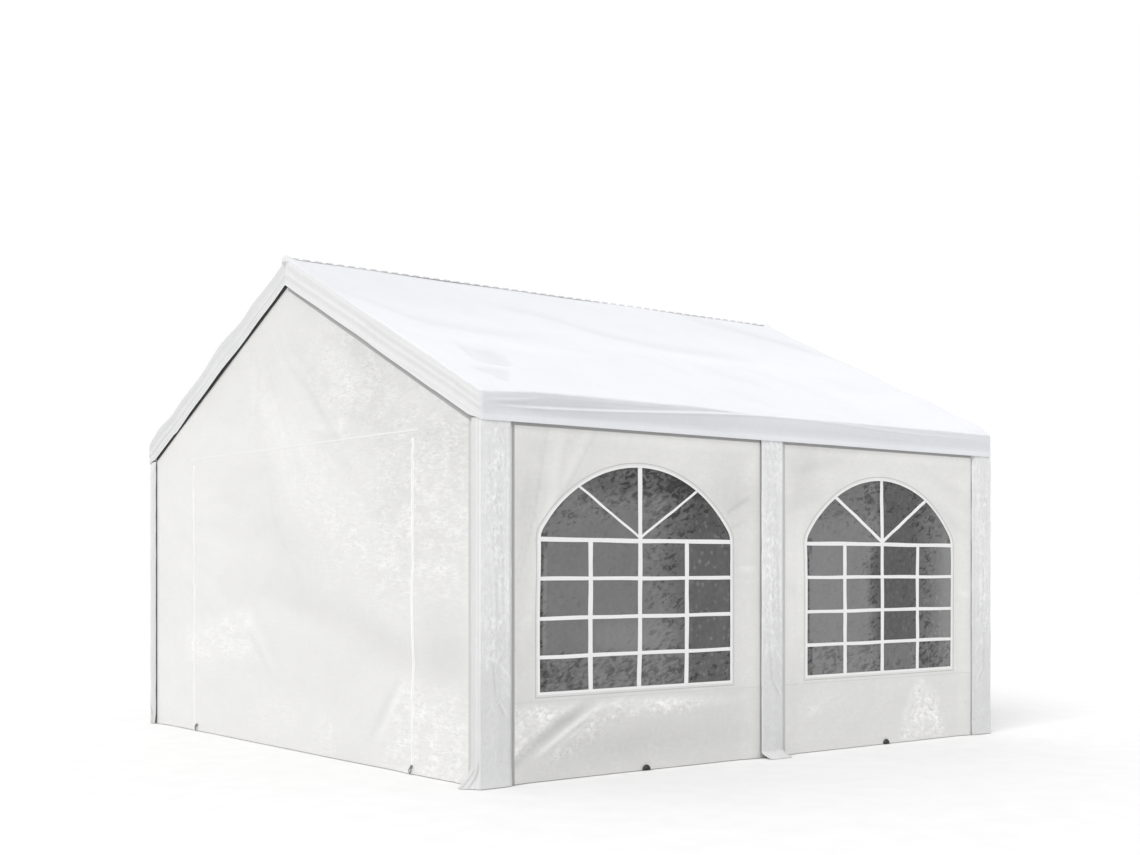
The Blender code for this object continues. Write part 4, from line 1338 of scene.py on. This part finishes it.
def build_side_wall(face, end, material):
    top = float(roof_height(WALL_FACE, WALL_UNDER_ROOF))

    def place(u, v):
        across = 0.0003 + (WALL_FACE - 0.0060) * u
        across = across if end > 0 else across - WALL_FACE + 0.0054
        return face.place(across, WALL_FOOT + (top - WALL_FOOT) * v, 0.0)

    name = bay_name(face, end)
    wall = grid(f"side_wall_cloth_{name}", 116, 112, place)
    cloth_on_face(wall, face, side_folds)
    thicken(wall)
    cut(wall, window_cutter(face, end * WINDOW_CENTRE, 0.0), "DIFFERENCE")
    paint_on_face(wall, face, side_folds)
    smooth(wall)
    finish(wall, material, [f"side_wall_{name}"])


def first_film_look(flow, z, low, high):
    """Painted reflections and shade, ripples and specks of the film nearer the front gable."""
    edge = 0.20 + 0.035 * np.sin(9.0 * z + 1.0) + 0.02 * np.sin(23.0 * z)
    tone = 0.45 - 1.35 * fade((flow - edge + 0.09) / 0.18)
    tone -= 0.5 * fade((z - 1.23) / 0.05) * fade((flow - 0.1) / 0.2)
    tone -= 1.70 * fade((z - 1.40) / 0.10) * fade((flow + 0.45) / 0.2)
    tone -= 0.35 * fade((flow - 0.34) / 0.03)
    tone += 0.95 * oval(flow, z, (-0.02, 0.71), (0.50, 0.14)) * fade((z - 0.61) / 0.02)
    pale_foot = 0.9 * fade((flow - 0.10) / 0.08) * fade((0.36 - flow) / 0.03)
    tone += fade((0.63 - z) / 0.02) * (pale_foot - 0.4 * fade((-0.32 - flow) / 0.03))
    rippled = 0.10 + 0.85 * low + 0.95 * high + 0.75 * np.exp(-(((flow - edge + 0.03) / 0.12) ** 2))
    return tone, rippled * (1.0 - 0.6 * fade((flow - 0.36) / 0.04)), 0.75 * fade((flow - 0.34) / 0.05)


def second_film_look(flow, z, low, high):
    """Painted reflections and shade, ripples and specks of the other film, which has a dark column of painted
    shade right of its middle bar.
    """
    swayed = flow + 0.016 * np.sin(13.0 * z + 1.0) + 0.010 * np.sin(37.0 * z)
    panes = 1.40 - 0.25 * fade((flow + 0.5) / 0.3) - 2.85 * fade((swayed + 0.16) / 0.12)
    panes += 0.80 * fade((flow - 0.31) / 0.05) + 3.1 * fade((flow - 0.36) / 0.34)
    lowest = 0.95 - 1.1 * fade((flow + 0.15) / 0.16) - 0.8 * fade((flow - 0.31) / 0.04)
    lowest += 1.8 * fade((flow - 0.45) / 0.22)
    arched = 1.0 - 2.6 * fade((flow + 0.06) / 0.07) + 0.4 * fade((flow - 0.31) / 0.05)
    arched += 2.0 * fade((flow - 0.36) / 0.30)
    arched -= 1.0 * fade((z - 1.30) / 0.14) * fade(-flow / 0.03)
    tone = np.where(z > WINDOW_SPRING, arched, np.where(z < CROSS_BARS[0], lowest, panes))
    third_column = fade((flow + 0.01) / 0.02) * fade((0.34 - flow) / 0.02)
    rippled = 0.12 + 0.60 * low * (1.0 - 0.8 * third_column) + 0.5 * high * (1.0 - 0.6 * third_column)
    rippled += 0.75 * np.exp(-(((swayed + 0.10) / 0.055) ** 2)) + 0.70 * np.exp(-(((flow - 0.41) / 0.08) ** 2))
    return tone, rippled, 0.5 * fade((flow - 0.34) / 0.05) + 0.3 * third_column


def film_folds(face, u, z):
    """The wall's folds at the window's edge, with the film's own slack inside it, and its painted light and dark
    zones of reflection and shade.
    """
    height, _, _ = side_folds(face, u, z)
    centre = np.sign(u) * WINDOW_CENTRE
    across = u - centre
    inside = fade((WINDOW_HALF - np.abs(across)) / 0.25) * fade((z - WINDOW_SILL) / 0.2)
    inside *= fade((WINDOW_CROWN - z) / 0.3)
    slack = 0.003 + 0.0010 * np.sin(9.0 * across + 2.0 * z) + 0.0006 * np.sin(17.0 * across - 4.0 * z + face.seed)
    flow = -across if face.mirrored else across
    first = (u < 0) != face.mirrored
    low = fade((0.66 - z) / 0.05)
    high = fade((z - 1.32 + 0.35 * np.abs(flow + 0.05)) / 0.16)
    high *= 0.45 + 0.55 * np.exp(-(((flow - 0.02) / 0.30) ** 2))
    looks = zip(first_film_look(flow, z, low, high), second_film_look(flow, z, low, high))
    tone, rippled, dots = (np.where(first, near, far) for near, far in looks)
    return height * (1.0 - 0.6 * inside) + slack * inside, tone, np.clip(rippled, 0.0, 1.0), dots


def strip_folds(face, u, z):
    """The film's folds for the doubled strip at its edge: painted shade along the weld and a painted paler
    reflection beside it.
    """
    height, _, _, _ = film_folds(face, u, z)
    centre = np.sign(u) * WINDOW_CENTRE
    inset = WINDOW_HALF - np.abs(u - centre)
    under_arch = fade((WINDOW_SPRING - z) / 0.10)
    pale = fade((inset - 0.018) / 0.006) * fade((z - 0.58) / 0.10)
    tone = -1.3 + 2.5 * pale * under_arch
    return height, tone, 0.75 - 0.45 * pale, 0.7 * (1.0 - pale)


def build_film(face, end, material):
    centre = end * WINDOW_CENTRE

    def place(u, v):
        across = (WINDOW_HALF + FILM_MARGIN + 0.01) * (2.0 * u - 1.0) + centre
        rise = WINDOW_CROWN - WINDOW_SILL + 2 * FILM_MARGIN + 0.02
        return face.place(across, WINDOW_SILL - FILM_MARGIN - 0.01 + rise * v, 0.0)

    name = bay_name(face, end)
    film = grid(f"film_{name}", 72, 62, place)
    cloth_on_face(film, face, film_folds, FILM_OUT)
    thicken(film, 0.0008)
    cut(film, window_cutter(face, centre, FILM_MARGIN), "INTERSECT")
    paint_on_face(film, face, film_folds)
    smooth(film)
    finish(film, material, [f"window_film_{name}"])
    flow = 1.0 if face.mirrored else -1.0
    span = sorted((centre + flow * (WINDOW_HALF + 0.004), centre + flow * (WINDOW_HALF - 0.046)))
    heights = (WINDOW_SILL - 0.004, WINDOW_SPRING + 0.03)
    strip = strip_on_face(f"film_strip_{name}", face, strip_folds, span, heights, (10, 64), -0.0019, 0.0004)
    paint_on_face(strip, face, strip_folds)
    finish(strip, material)


def bar(name, face, start, end, width, out, phase):
    """One welded bar: a strip from start to end that lies on the film."""
    along = np.subtract(end, start)
    length = np.hypot(*along)
    square = np.array([-along[1], along[0]]) / length
    steps = max(6, int(length / 0.022))

    def place(u, v):
        sway = 0.0010 * np.sin(8.0 * u + phase) + 0.0006 * np.sin(19.0 * u + 2.0 * phase)
        side = (v - 0.5) * width * (1.0 + 0.05 * np.sin(15.0 * u + phase)) + sway
        across = start[0] + along[0] * u + square[0] * side
        up = start[1] + along[1] * u + square[1] * side
        return face.place(across, up, out + film_folds(face, across, up)[0])

    obj = grid(name, steps, 3, place)
    thicken(obj, 0.0004)
    return obj


def build_bars(face, end, settings, material):
    """The white glazing bars of one window."""
    name = bay_name(face, end)
    centre = end * WINDOW_CENTRE
    edge, foot = WINDOW_HALF + 0.006, WINDOW_SILL - 0.006
    pieces = []
    for number, offset in enumerate((-UPRIGHT_OFFSET, 0.0, UPRIGHT_OFFSET)):
        top = WINDOW_CROWN + 0.005 if offset == 0.0 else WINDOW_SPRING
        start, stop = (centre + offset, foot), (centre + offset, top)
        pieces.append(bar("upright", face, start, stop, settings.upright_width, FILM_OUT + 0.0006, number + end))
    for number, height in enumerate((*CROSS_BARS, WINDOW_SPRING)):
        start, stop = (centre - edge, height), (centre + edge, height)
        width = settings.bar_width * (1.15 if height == WINDOW_SPRING else 1.0)
        pieces.append(bar("cross_bar", face, start, stop, width, FILM_OUT + 0.0011, number + 2 * end))
    for side in (-1, 1):
        start, stop = (centre + side * 0.006, 1.226), (centre + side * 0.416, 1.486)
        width = 0.0135 if (end < 0) != face.mirrored else 0.020
        pieces.append(bar("slanting_bar", face, start, stop, width, FILM_OUT + 0.0009, side + end))
    bars = join(f"window_bars_{name}", pieces)
    smooth(bars)
    finish(bars, material)


def ring(name, face, centre, inner, outer, out, thickness, arch_cut=0.004):
    """A band that runs all the way round the window, between two margins, and arch_cut nearer over the arch."""
    lines = [np.array(window_outline(margin)) for margin in (inner, outer)]
    arched = np.clip((lines[1][:, 1:] - WINDOW_SPRING) / 0.25, 0.0, 1.0)
    lines[1] += (np.array(window_outline(outer - arch_cut)) - lines[1]) * arched
    if inner > 0.0:
        lines[0] += (np.array(window_outline(inner - arch_cut)) - lines[0]) * arched
    closed = [np.vstack([line, line[:1]]) for line in lines]
    count = len(closed[0]) - 1
    marks = [0.0]
    for index in range(count):
        gap = np.hypot(*(closed[0][index + 1] - closed[0][index]))
        pieces = max(1, int(round(gap / 0.03)))
        marks += [index + (step + 1) / pieces for step in range(pieces)]
    marks = np.array(marks)

    def place(u, v):
        at = marks[np.rint(u * (len(marks) - 1)).astype(int)]
        whole = np.minimum(at.astype(int), count - 1)
        part = (at - whole)[:, None]
        ends = [line[whole] * (1.0 - part) + line[whole + 1] * part for line in closed]
        spot = ends[0] * (1.0 - v[:, None]) + ends[1] * v[:, None]
        across, up = spot[:, 0] + centre, spot[:, 1]
        height, _, _ = side_folds(face, across, up)
        return face.place(across, up, out + height)

    obj = grid(name, len(marks) - 1, 3, place)
    merge(obj, 0.0002)
    flip(obj)
    thicken(obj, thickness)
    smooth(obj)
    return obj


# Fastening tapes and eyelets

def build_side_tapes(face, end, grey, pale):
    """The tapes along the posts and the eave of one side bay, whose grey and pale shades paint the shadow gaps
    beside the sleeves and under the valance.
    """
    name = bay_name(face, end)
    corner = HALF_LENGTH - SLEEVE_EDGE_ON_SIDE
    near, far = (-corner, -MIDDLE_SLEEVE_EDGE) if end < 0 else (MIDDLE_SLEEVE_EDGE, corner)
    # The near and far tapes swap the grey and pale shades of painted shadow by the end the bay lies at.
    near_reach, near_shadow_tape, far_shadow_tape = (0.021, grey, pale) if end < 0 else (0.020, pale, grey)
    tall = (WALL_FOOT, SLEEVE_TOP + 0.02)
    spots = (
        ("near", (near - 0.012, near + near_reach), tall, (3, 90), near_shadow_tape),
        ("far", (far - 0.003, far + 0.030), tall, (3, 90), far_shadow_tape),
        ("top", (near - 0.012, far + 0.030), (SLEEVE_TOP - 0.014, SLEEVE_TOP + 0.04), (90, 4), grey),
    )
    for kind, across, up, steps, material in spots:
        tape_name = f"edge_tape_{kind}_{name}"
        tape = strip_on_face(tape_name, face, side_folds, across, up, steps, 0.0008, 0.0006)
        finish(tape, material)


def build_rake_tape(face, kind, side, reach, material):
    """The tape that shows below the cover along one slanting edge of a gable, as painted shadow in the gap under
    the band.
    """
    edge = HALF_WIDTH - SLEEVE_EDGE_ON_GABLE

    def slanted(u, v):
        across = side * (edge + 0.004) * u
        depth = BAND_DEPTH - 0.03 + (0.03 + reach) * (1.0 - v)
        return across, roof_height(across, depth)

    name = f"rake_tape_{kind}_{face.name}"
    tape = strip_on_face(name, face, gable_folds, (0, 0), (0, 0), (100, 3), 0.0008, 0.0006, slanted)
    if side < 0:
        flip(tape)
    finish(tape, material)


def build_eyelet(face, end, u, material):
    """A round eyelet on a small plate, cut off level with the ground."""
    centre, upright = (0.0, 0.0, 0.005), (math.pi / 2, 0.0, 0.0)
    bpy.ops.object.select_all(action="DESELECT")
    bpy.ops.mesh.primitive_torus_add(
        major_segments=36,
        minor_segments=12,
        major_radius=EYELET_RADIUS,
        minor_radius=0.0055,
        location=centre,
        rotation=upright,
    )
    rim = bpy.context.object
    bake_place(rim)
    bpy.ops.object.select_all(action="DESELECT")
    bpy.ops.mesh.primitive_cylinder_add(
        vertices=36, radius=EYELET_RADIUS, depth=0.003, location=centre, rotation=upright
    )
    plate = bpy.context.object
    bake_place(plate)
    apply_modifier(plate, "BEVEL", width=0.0008, segments=2)
    eyelet = join(f"peg_eyelet_{bay_name(face, end)}", [rim, plate])
    select_only(eyelet)
    bpy.ops.object.mode_set(mode="EDIT")
    bpy.ops.mesh.select_all(action="SELECT")
    bpy.ops.mesh.bisect(
        plane_co=(0.0, 0.0, 0.004), plane_no=(0.0, 0.0, 1.0), use_fill=True, clear_inner=True
    )
    bpy.ops.object.mode_set(mode="OBJECT")
    lay_on_face(eyelet, face, side_folds, 0.0045, -u if face.mirrored else u)
    smooth(eyelet, 40.0)
    finish(eyelet, material)


# Operators and settings

class ClothSettings(bpy.types.PropertyGroup):
    cover_colour: bpy.props.FloatVectorProperty(
        name="Cover colour",
        description="Cloth of the roof cover",
        subtype="COLOR",
        size=3,
        default=(0.808, 0.816, 0.848),
    )
    wall_colour: bpy.props.FloatVectorProperty(
        name="Wall colour",
        description="Cloth of the walls and doors",
        subtype="COLOR",
        size=3,
        default=(0.792, 0.788, 0.774),
    )
    sleeve_colour: bpy.props.FloatVectorProperty(
        name="Sleeve colour",
        description="Cloth of the leg sleeves",
        subtype="COLOR",
        size=3,
        default=(0.785, 0.787, 0.790),
    )
    thread_colour: bpy.props.FloatVectorProperty(
        name="Thread colour",
        description="Stitches along the ridge",
        subtype="COLOR",
        size=3,
        default=(0.72, 0.71, 0.70),
    )
    roof_sag: bpy.props.FloatProperty(
        name="Roof sag",
        description="How far the roof hangs between two frames",
        default=0.012,
        min=0.0,
        max=0.05,
        unit="LENGTH",
    )
    hem_kick: bpy.props.FloatProperty(
        name="Hem kick",
        description="How far the sleeves spread at the ground",
        default=0.085,
        min=0.0,
        max=0.11,
        unit="LENGTH",
    )


class WindowSettings(bpy.types.PropertyGroup):
    # The film is drawn opaque: this dark colour paints the shaded inside of the tent seen through the clear film.
    film_shade_colour: bpy.props.FloatVectorProperty(
        name="Film colour",
        description="How the clear film looks from outside",
        subtype="COLOR",
        size=3,
        default=(0.150, 0.150, 0.150),
    )
    bar_colour: bpy.props.FloatVectorProperty(
        name="Bar colour",
        description="White glazing bars",
        subtype="COLOR",
        size=3,
        default=(0.90, 0.90, 0.90),
    )
    bar_width: bpy.props.FloatProperty(
        name="Cross bar width",
        description="Width of the level bars",
        default=0.0195,
        min=0.01,
        max=0.05,
        unit="LENGTH",
    )
    upright_width: bpy.props.FloatProperty(
        name="Upright width",
        description="Width of the upright bars",
        default=0.0285,
        min=0.01,
        max=0.05,
        unit="LENGTH",
    )
    frame_width: bpy.props.FloatProperty(
        name="Frame width",
        description="Width of the white band round the film",
        default=0.0135,
        min=0.01,
        max=0.08,
        unit="LENGTH",
    )


class StudioSettings(bpy.types.PropertyGroup):
    floor_colour: bpy.props.FloatVectorProperty(
        name="Floor colour",
        description="Pale studio floor",
        subtype="COLOR",
        size=3,
        default=(0.88, 0.88, 0.88),
    )
    surround: bpy.props.FloatProperty(
        name="Surround",
        description="Brightness of the white surround",
        default=1.0,
        min=0.0,
        max=3.0,
        subtype="FACTOR",
    )
    key_power: bpy.props.FloatProperty(
        name="Key light",
        description="Strength of the soft light over the gable",
        default=1.6,
        min=0.0,
        subtype="FACTOR",
    )


class MARQUEE_OT_roof_cover(bpy.types.Operator):
    """Sews the roof cover with its valances and rake bands, and the seam along the ridge"""

    bl_idname = "marquee.roof_cover"
    bl_label = "Roof cover"

    def execute(self, context):
        build_cover(context.scene.marquee_cloth)
        build_ridge_seam(context.scene.marquee_cloth)
        return {"FINISHED"}


class MARQUEE_OT_sleeves(bpy.types.Operator):
    """Hangs the leg sleeves at the corners and half way along each side"""

    bl_idname = "marquee.sleeves"
    bl_label = "Leg sleeves"

    def execute(self, context):
        settings = context.scene.marquee_cloth
        colour = settings.sleeve_colour
        material = cloth_material("sleeve_cloth", colour, "Y", "Z", (3.4, 3.4, 2.2), 0.055, 0.20, 0.003)
        for left in (0, 1):
            for rear in (0, 1):
                name = f"corner_sleeve_cloth_{('front', 'rear')[rear]}_{('right', 'left')[left]}"
                corner_sleeve(name, left, rear, settings, material)
        for face in (RIGHT, LEFT):
            middle_sleeve(face, settings, material)
        return {"FINISHED"}


class MARQUEE_OT_gables(bpy.types.Operator):
    """Hangs the gable walls and the door panels"""

    bl_idname = "marquee.gables"
    bl_label = "Gable walls and doors"

    def execute(self, context):
        colour = context.scene.marquee_cloth.wall_colour
        material = cloth_material("gable_cloth", colour, "X", "Z", (1.5, 1.5, 4.8), 0.06, 0.15, 0.005)
        for face in (FRONT, REAR):
            build_gable_wall(face, material)
            build_door_panel(face, material)
        return {"FINISHED"}


class MARQUEE_OT_zips(bpy.types.Operator):
    """Fits the door zips with their pulls, and the seams of the gables"""

    bl_idname = "marquee.zips"
    bl_label = "Zips and gable seams"

    def execute(self, context):
        tape = plain_cloth_material("zip_tape", (0.92, 0.92, 0.91), 0.5, 140.0)
        teeth = plain_cloth_material("zip_teeth", (0.95, 0.95, 0.94), 0.35, 90.0, 0.0002)
        pull = plain_cloth_material("zip_pull", (0.20, 0.20, 0.20), 0.4, 60.0, 0.0003)
        seam = plain_cloth_material("seam_tape", (0.83, 0.83, 0.82), 0.5, 120.0)
        for face in (FRONT, REAR):
            for side in (-1, 1):
                build_zip(face, side, (tape, teeth, pull))
            build_gable_seams(face, seam)
        return {"FINISHED"}


class MARQUEE_OT_side_walls(bpy.types.Operator):
    """Hangs the two bays of each long side, cut out for the windows"""

    bl_idname = "marquee.side_walls"
    bl_label = "Side walls"

    def execute(self, context):
        colour = context.scene.marquee_cloth.wall_colour
        material = cloth_material("side_cloth", colour, "Y", "Z", (2.0, 2.0, 3.0), 0.06, 0.29, 0.006)
        seam = plain_cloth_material("side_seam_tape", (0.70, 0.70, 0.69), 0.5, 120.0)
        for face in (RIGHT, LEFT):
            for end in (-1, 1):
                build_side_wall(face, end, material)
                name = f"side_seam_{bay_name(face, end)}"
                span = (end * (MIDDLE_SLEEVE_EDGE - 0.02), end * (WALL_FACE - 0.02))
                heights = (SEAM_HEIGHT, SEAM_HEIGHT + 0.0045)
                strip = strip_on_face(name, face, side_folds, sorted(span), heights, (100, 1), 0.0006, 0.0005)
                finish(strip, seam)
        return {"FINISHED"}


class MARQUEE_OT_windows(bpy.types.Operator):
    """Fits each window's film, glazing bars, white frame and weld line"""

    bl_idname = "marquee.windows"
    bl_label = "Windows"

    def execute(self, context):
        settings = context.scene.marquee_windows
        film = film_material(settings.film_shade_colour)
        bars = plain_cloth_material("window_bars", settings.bar_colour, 0.4, 40.0, 0.0004)
        weld = plain_cloth_material("weld_line", (0.55, 0.55, 0.55), 0.5)
        for face in (RIGHT, LEFT):
            for end in (-1, 1):
                name = bay_name(face, end)
                centre = end * WINDOW_CENTRE
                build_film(face, end, film)
                build_bars(face, end, settings, bars)
                band = ring(f"window_frame_{name}", face, centre, -0.001, settings.frame_width, 0.0010, 0.0008)
                finish(band, bars)
                start = settings.frame_width + 0.010
                line = ring(f"window_weld_{name}", face, centre, start, start + 0.0045, 0.0006, 0.0005)
                finish(line, weld)
        return {"FINISHED"}


class MARQUEE_OT_edge_tapes(bpy.types.Operator):
    """Lays the strips along the edges of the walls, drawn as fastening tapes, whose dark, grey and pale shades
    paint the shadow gaps there
    """

    bl_idname = "marquee.edge_tapes"
    bl_label = "Shadow gap tapes"

    def execute(self, context):
        # Three shades of the same tape, painted as deep, middle and light shadow in the gaps.
        dark = plain_cloth_material("dark_shadow_tape", (0.09, 0.09, 0.09), 0.7)
        grey = plain_cloth_material("grey_shadow_tape", (0.42, 0.42, 0.42), 0.7)
        pale = plain_cloth_material("pale_shadow_tape", (0.58, 0.58, 0.58), 0.7)
        for face in (RIGHT, LEFT):
            for end in (-1, 1):
                build_side_tapes(face, end, grey, pale)
        for face in (FRONT, REAR):
            # Painted shadow under the rake bands: dark on the left edge, grey on the right.
            build_rake_tape(face, "left", -1, 0.008, dark)
            build_rake_tape(face, "right", 1, 0.030, grey)
            # Painted shadow beside the corner sleeves: grey on the left post, pale on the right.
            for kind, across, material in (("left", (-1.968, -1.912), grey), ("right", (1.872, 1.930), pale)):
                name = f"post_tape_{kind}_{face.name}"
                tape = strip_on_face(name, face, gable_folds, across, (WALL_FOOT, 1.80), (3, 90), 0.0008, 0.0006)
                finish(tape, material)
        return {"FINISHED"}


class MARQUEE_OT_peg_eyelets(bpy.types.Operator):
    """Adds the half-round peg eyelets at the foot of the side walls"""

    bl_idname = "marquee.peg_eyelets"
    bl_label = "Peg eyelets"

    def execute(self, context):
        material = plain_cloth_material("eyelet_webbing", (0.05, 0.05, 0.05), 0.6, 120.0)
        for face in (RIGHT, LEFT):
            for end, u in ((-1, -0.92), (1, 1.0)):
                build_eyelet(face, end, u, material)
        return {"FINISHED"}


class MARQUEE_OT_tube_finish(bpy.types.Operator):
    """Gives the tubes, feet and connectors their galvanised finish"""

    bl_idname = "marquee.tube_finish"
    bl_label = "Tube finish"

    def execute(self, context):
        tube = galvanised_material("galvanised_tube", (0.62, 0.64, 0.66), 0.28)
        fitting = galvanised_material("galvanised_fitting", (0.50, 0.52, 0.54), 0.36)
        for name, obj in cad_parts.items():
            if name.startswith(("post_", "eave_rail_", "ridge_rail_", "rafter_")):
                obj.material_slots[0].material = tube
            if name.startswith(("foot_", "eave_connector_", "ridge_connector_")):
                obj.material_slots[0].material = fitting
        return {"FINISHED"}


def build_surround(scene, strength):
    """A white surround, brightest overhead and behind the tent, so that each side gets its own shade."""
    world = scene.world or bpy.data.worlds.new("studio")
    scene.world = world
    world.use_nodes = True
    nodes, links = world.node_tree.nodes, world.node_tree.links
    direction = nodes.new("ShaderNodeTexCoord").outputs["Generated"]
    slant = nodes.new("ShaderNodeVectorMath")
    slant.operation = "DOT_PRODUCT"
    slant.inputs[1].default_value = (-0.45, 0.46, 0.30)
    links.new(direction, slant.inputs[0])
    level = slant.outputs["Value"]
    for operation, amount in (("ADD", 0.75), ("MINIMUM", 1.0), ("MULTIPLY", strength)):
        step = nodes.new("ShaderNodeMath")
        step.operation = operation
        step.inputs[1].default_value = amount
        links.new(level, step.inputs[0])
        level = step.outputs[0]
    background = nodes["Background"]
    background.inputs["Color"].default_value = (1.0, 1.0, 1.0, 1.0)
    links.new(level, background.inputs["Strength"])


class MARQUEE_OT_studio(bpy.types.Operator):
    """Sets up the pale floor, the soft light and the camera at the photograph's angle"""

    bl_idname = "marquee.studio"
    bl_label = "Studio"

    def execute(self, context):
        scene = context.scene
        settings = scene.marquee_studio
        bpy.ops.object.select_all(action="DESELECT")
        bpy.ops.mesh.primitive_plane_add(size=240.0, location=(0.0, 0.0, 0.0))
        floor = bpy.context.object
        floor.name = floor.data.name = "studio_floor"
        floor.data.materials.append(plain_cloth_material("studio_floor", settings.floor_colour, 0.9, 3.0, 0.0001))
        floor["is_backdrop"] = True
        build_surround(scene, settings.surround)
        key = bpy.data.lights.new("key_light", "SUN")
        key.energy = settings.key_power
        key.angle = math.radians(34.0)
        holder = bpy.data.objects.new("key_light", key)
        holder.rotation_euler = Vector((-0.31, 0.67, -0.67)).to_track_quat("-Z", "Y").to_euler()
        scene.collection.objects.link(holder)
        scene.view_settings.view_transform = "Standard"
        camera = bpy.data.cameras.new("photo_camera")
        camera.sensor_width = 36.0
        camera.lens = CAMERA_LENS
        camera.shift_y = CAMERA_SHIFT
        camera.clip_end = 500.0
        holder = bpy.data.objects.new("photo_camera", camera)
        holder.location = CAMERA_PLACE
        holder.rotation_euler = (math.pi / 2, 0.0, CAMERA_TURN)
        scene.collection.objects.link(holder)
        scene.camera = holder
        return {"FINISHED"}


OPERATORS = (
    MARQUEE_OT_roof_cover,
    MARQUEE_OT_sleeves,
    MARQUEE_OT_gables,
    MARQUEE_OT_zips,
    MARQUEE_OT_side_walls,
    MARQUEE_OT_windows,
    MARQUEE_OT_edge_tapes,
    MARQUEE_OT_peg_eyelets,
    MARQUEE_OT_tube_finish,
    MARQUEE_OT_studio,
)


class MARQUEE_PT_panel(bpy.types.Panel):
    """Lists the tent's pieces and their settings"""

    bl_idname = "MARQUEE_PT_panel"
    bl_label = "Marquee tent"
    bl_space_type = "VIEW_3D"
    bl_region_type = "UI"
    bl_category = "Marquee"

    def draw(self, context):
        for operator in OPERATORS:
            self.layout.operator(operator.bl_idname)
        for group in ("marquee_cloth", "marquee_windows", "marquee_studio"):
            settings = getattr(context.scene, group)
            box = self.layout.box()
            for key in settings.bl_rna.properties.keys():
                if key not in ("rna_type", "name"):
                    box.prop(settings, key)


CLASSES = (ClothSettings, WindowSettings, StudioSettings, *OPERATORS, MARQUEE_PT_panel)


def register():
    for made in CLASSES:
        bpy.utils.register_class(made)
    bpy.types.Scene.marquee_cloth = bpy.props.PointerProperty(type=ClothSettings)
    bpy.types.Scene.marquee_windows = bpy.props.PointerProperty(type=WindowSettings)
    bpy.types.Scene.marquee_studio = bpy.props.PointerProperty(type=StudioSettings)


def unregister():
    del bpy.types.Scene.marquee_cloth
    del bpy.types.Scene.marquee_windows
    del bpy.types.Scene.marquee_studio
    for made in reversed(CLASSES):
        bpy.utils.unregister_class(made)


def main():
    register()
    bpy.ops.marquee.roof_cover()
    bpy.ops.marquee.sleeves()
    bpy.ops.marquee.gables()
    bpy.ops.marquee.zips()
    bpy.ops.marquee.side_walls()
    bpy.ops.marquee.windows()
    bpy.ops.marquee.edge_tapes()
    bpy.ops.marquee.peg_eyelets()
    bpy.ops.marquee.tube_finish()
    bpy.ops.marquee.studio()
    sizes = {"cad_box": CAD_BOX, "visual_box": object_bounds()}
    {key: [list(corner) for corner in box] for key, box in sizes.items()}


if __name__ == "__main__":
    main()
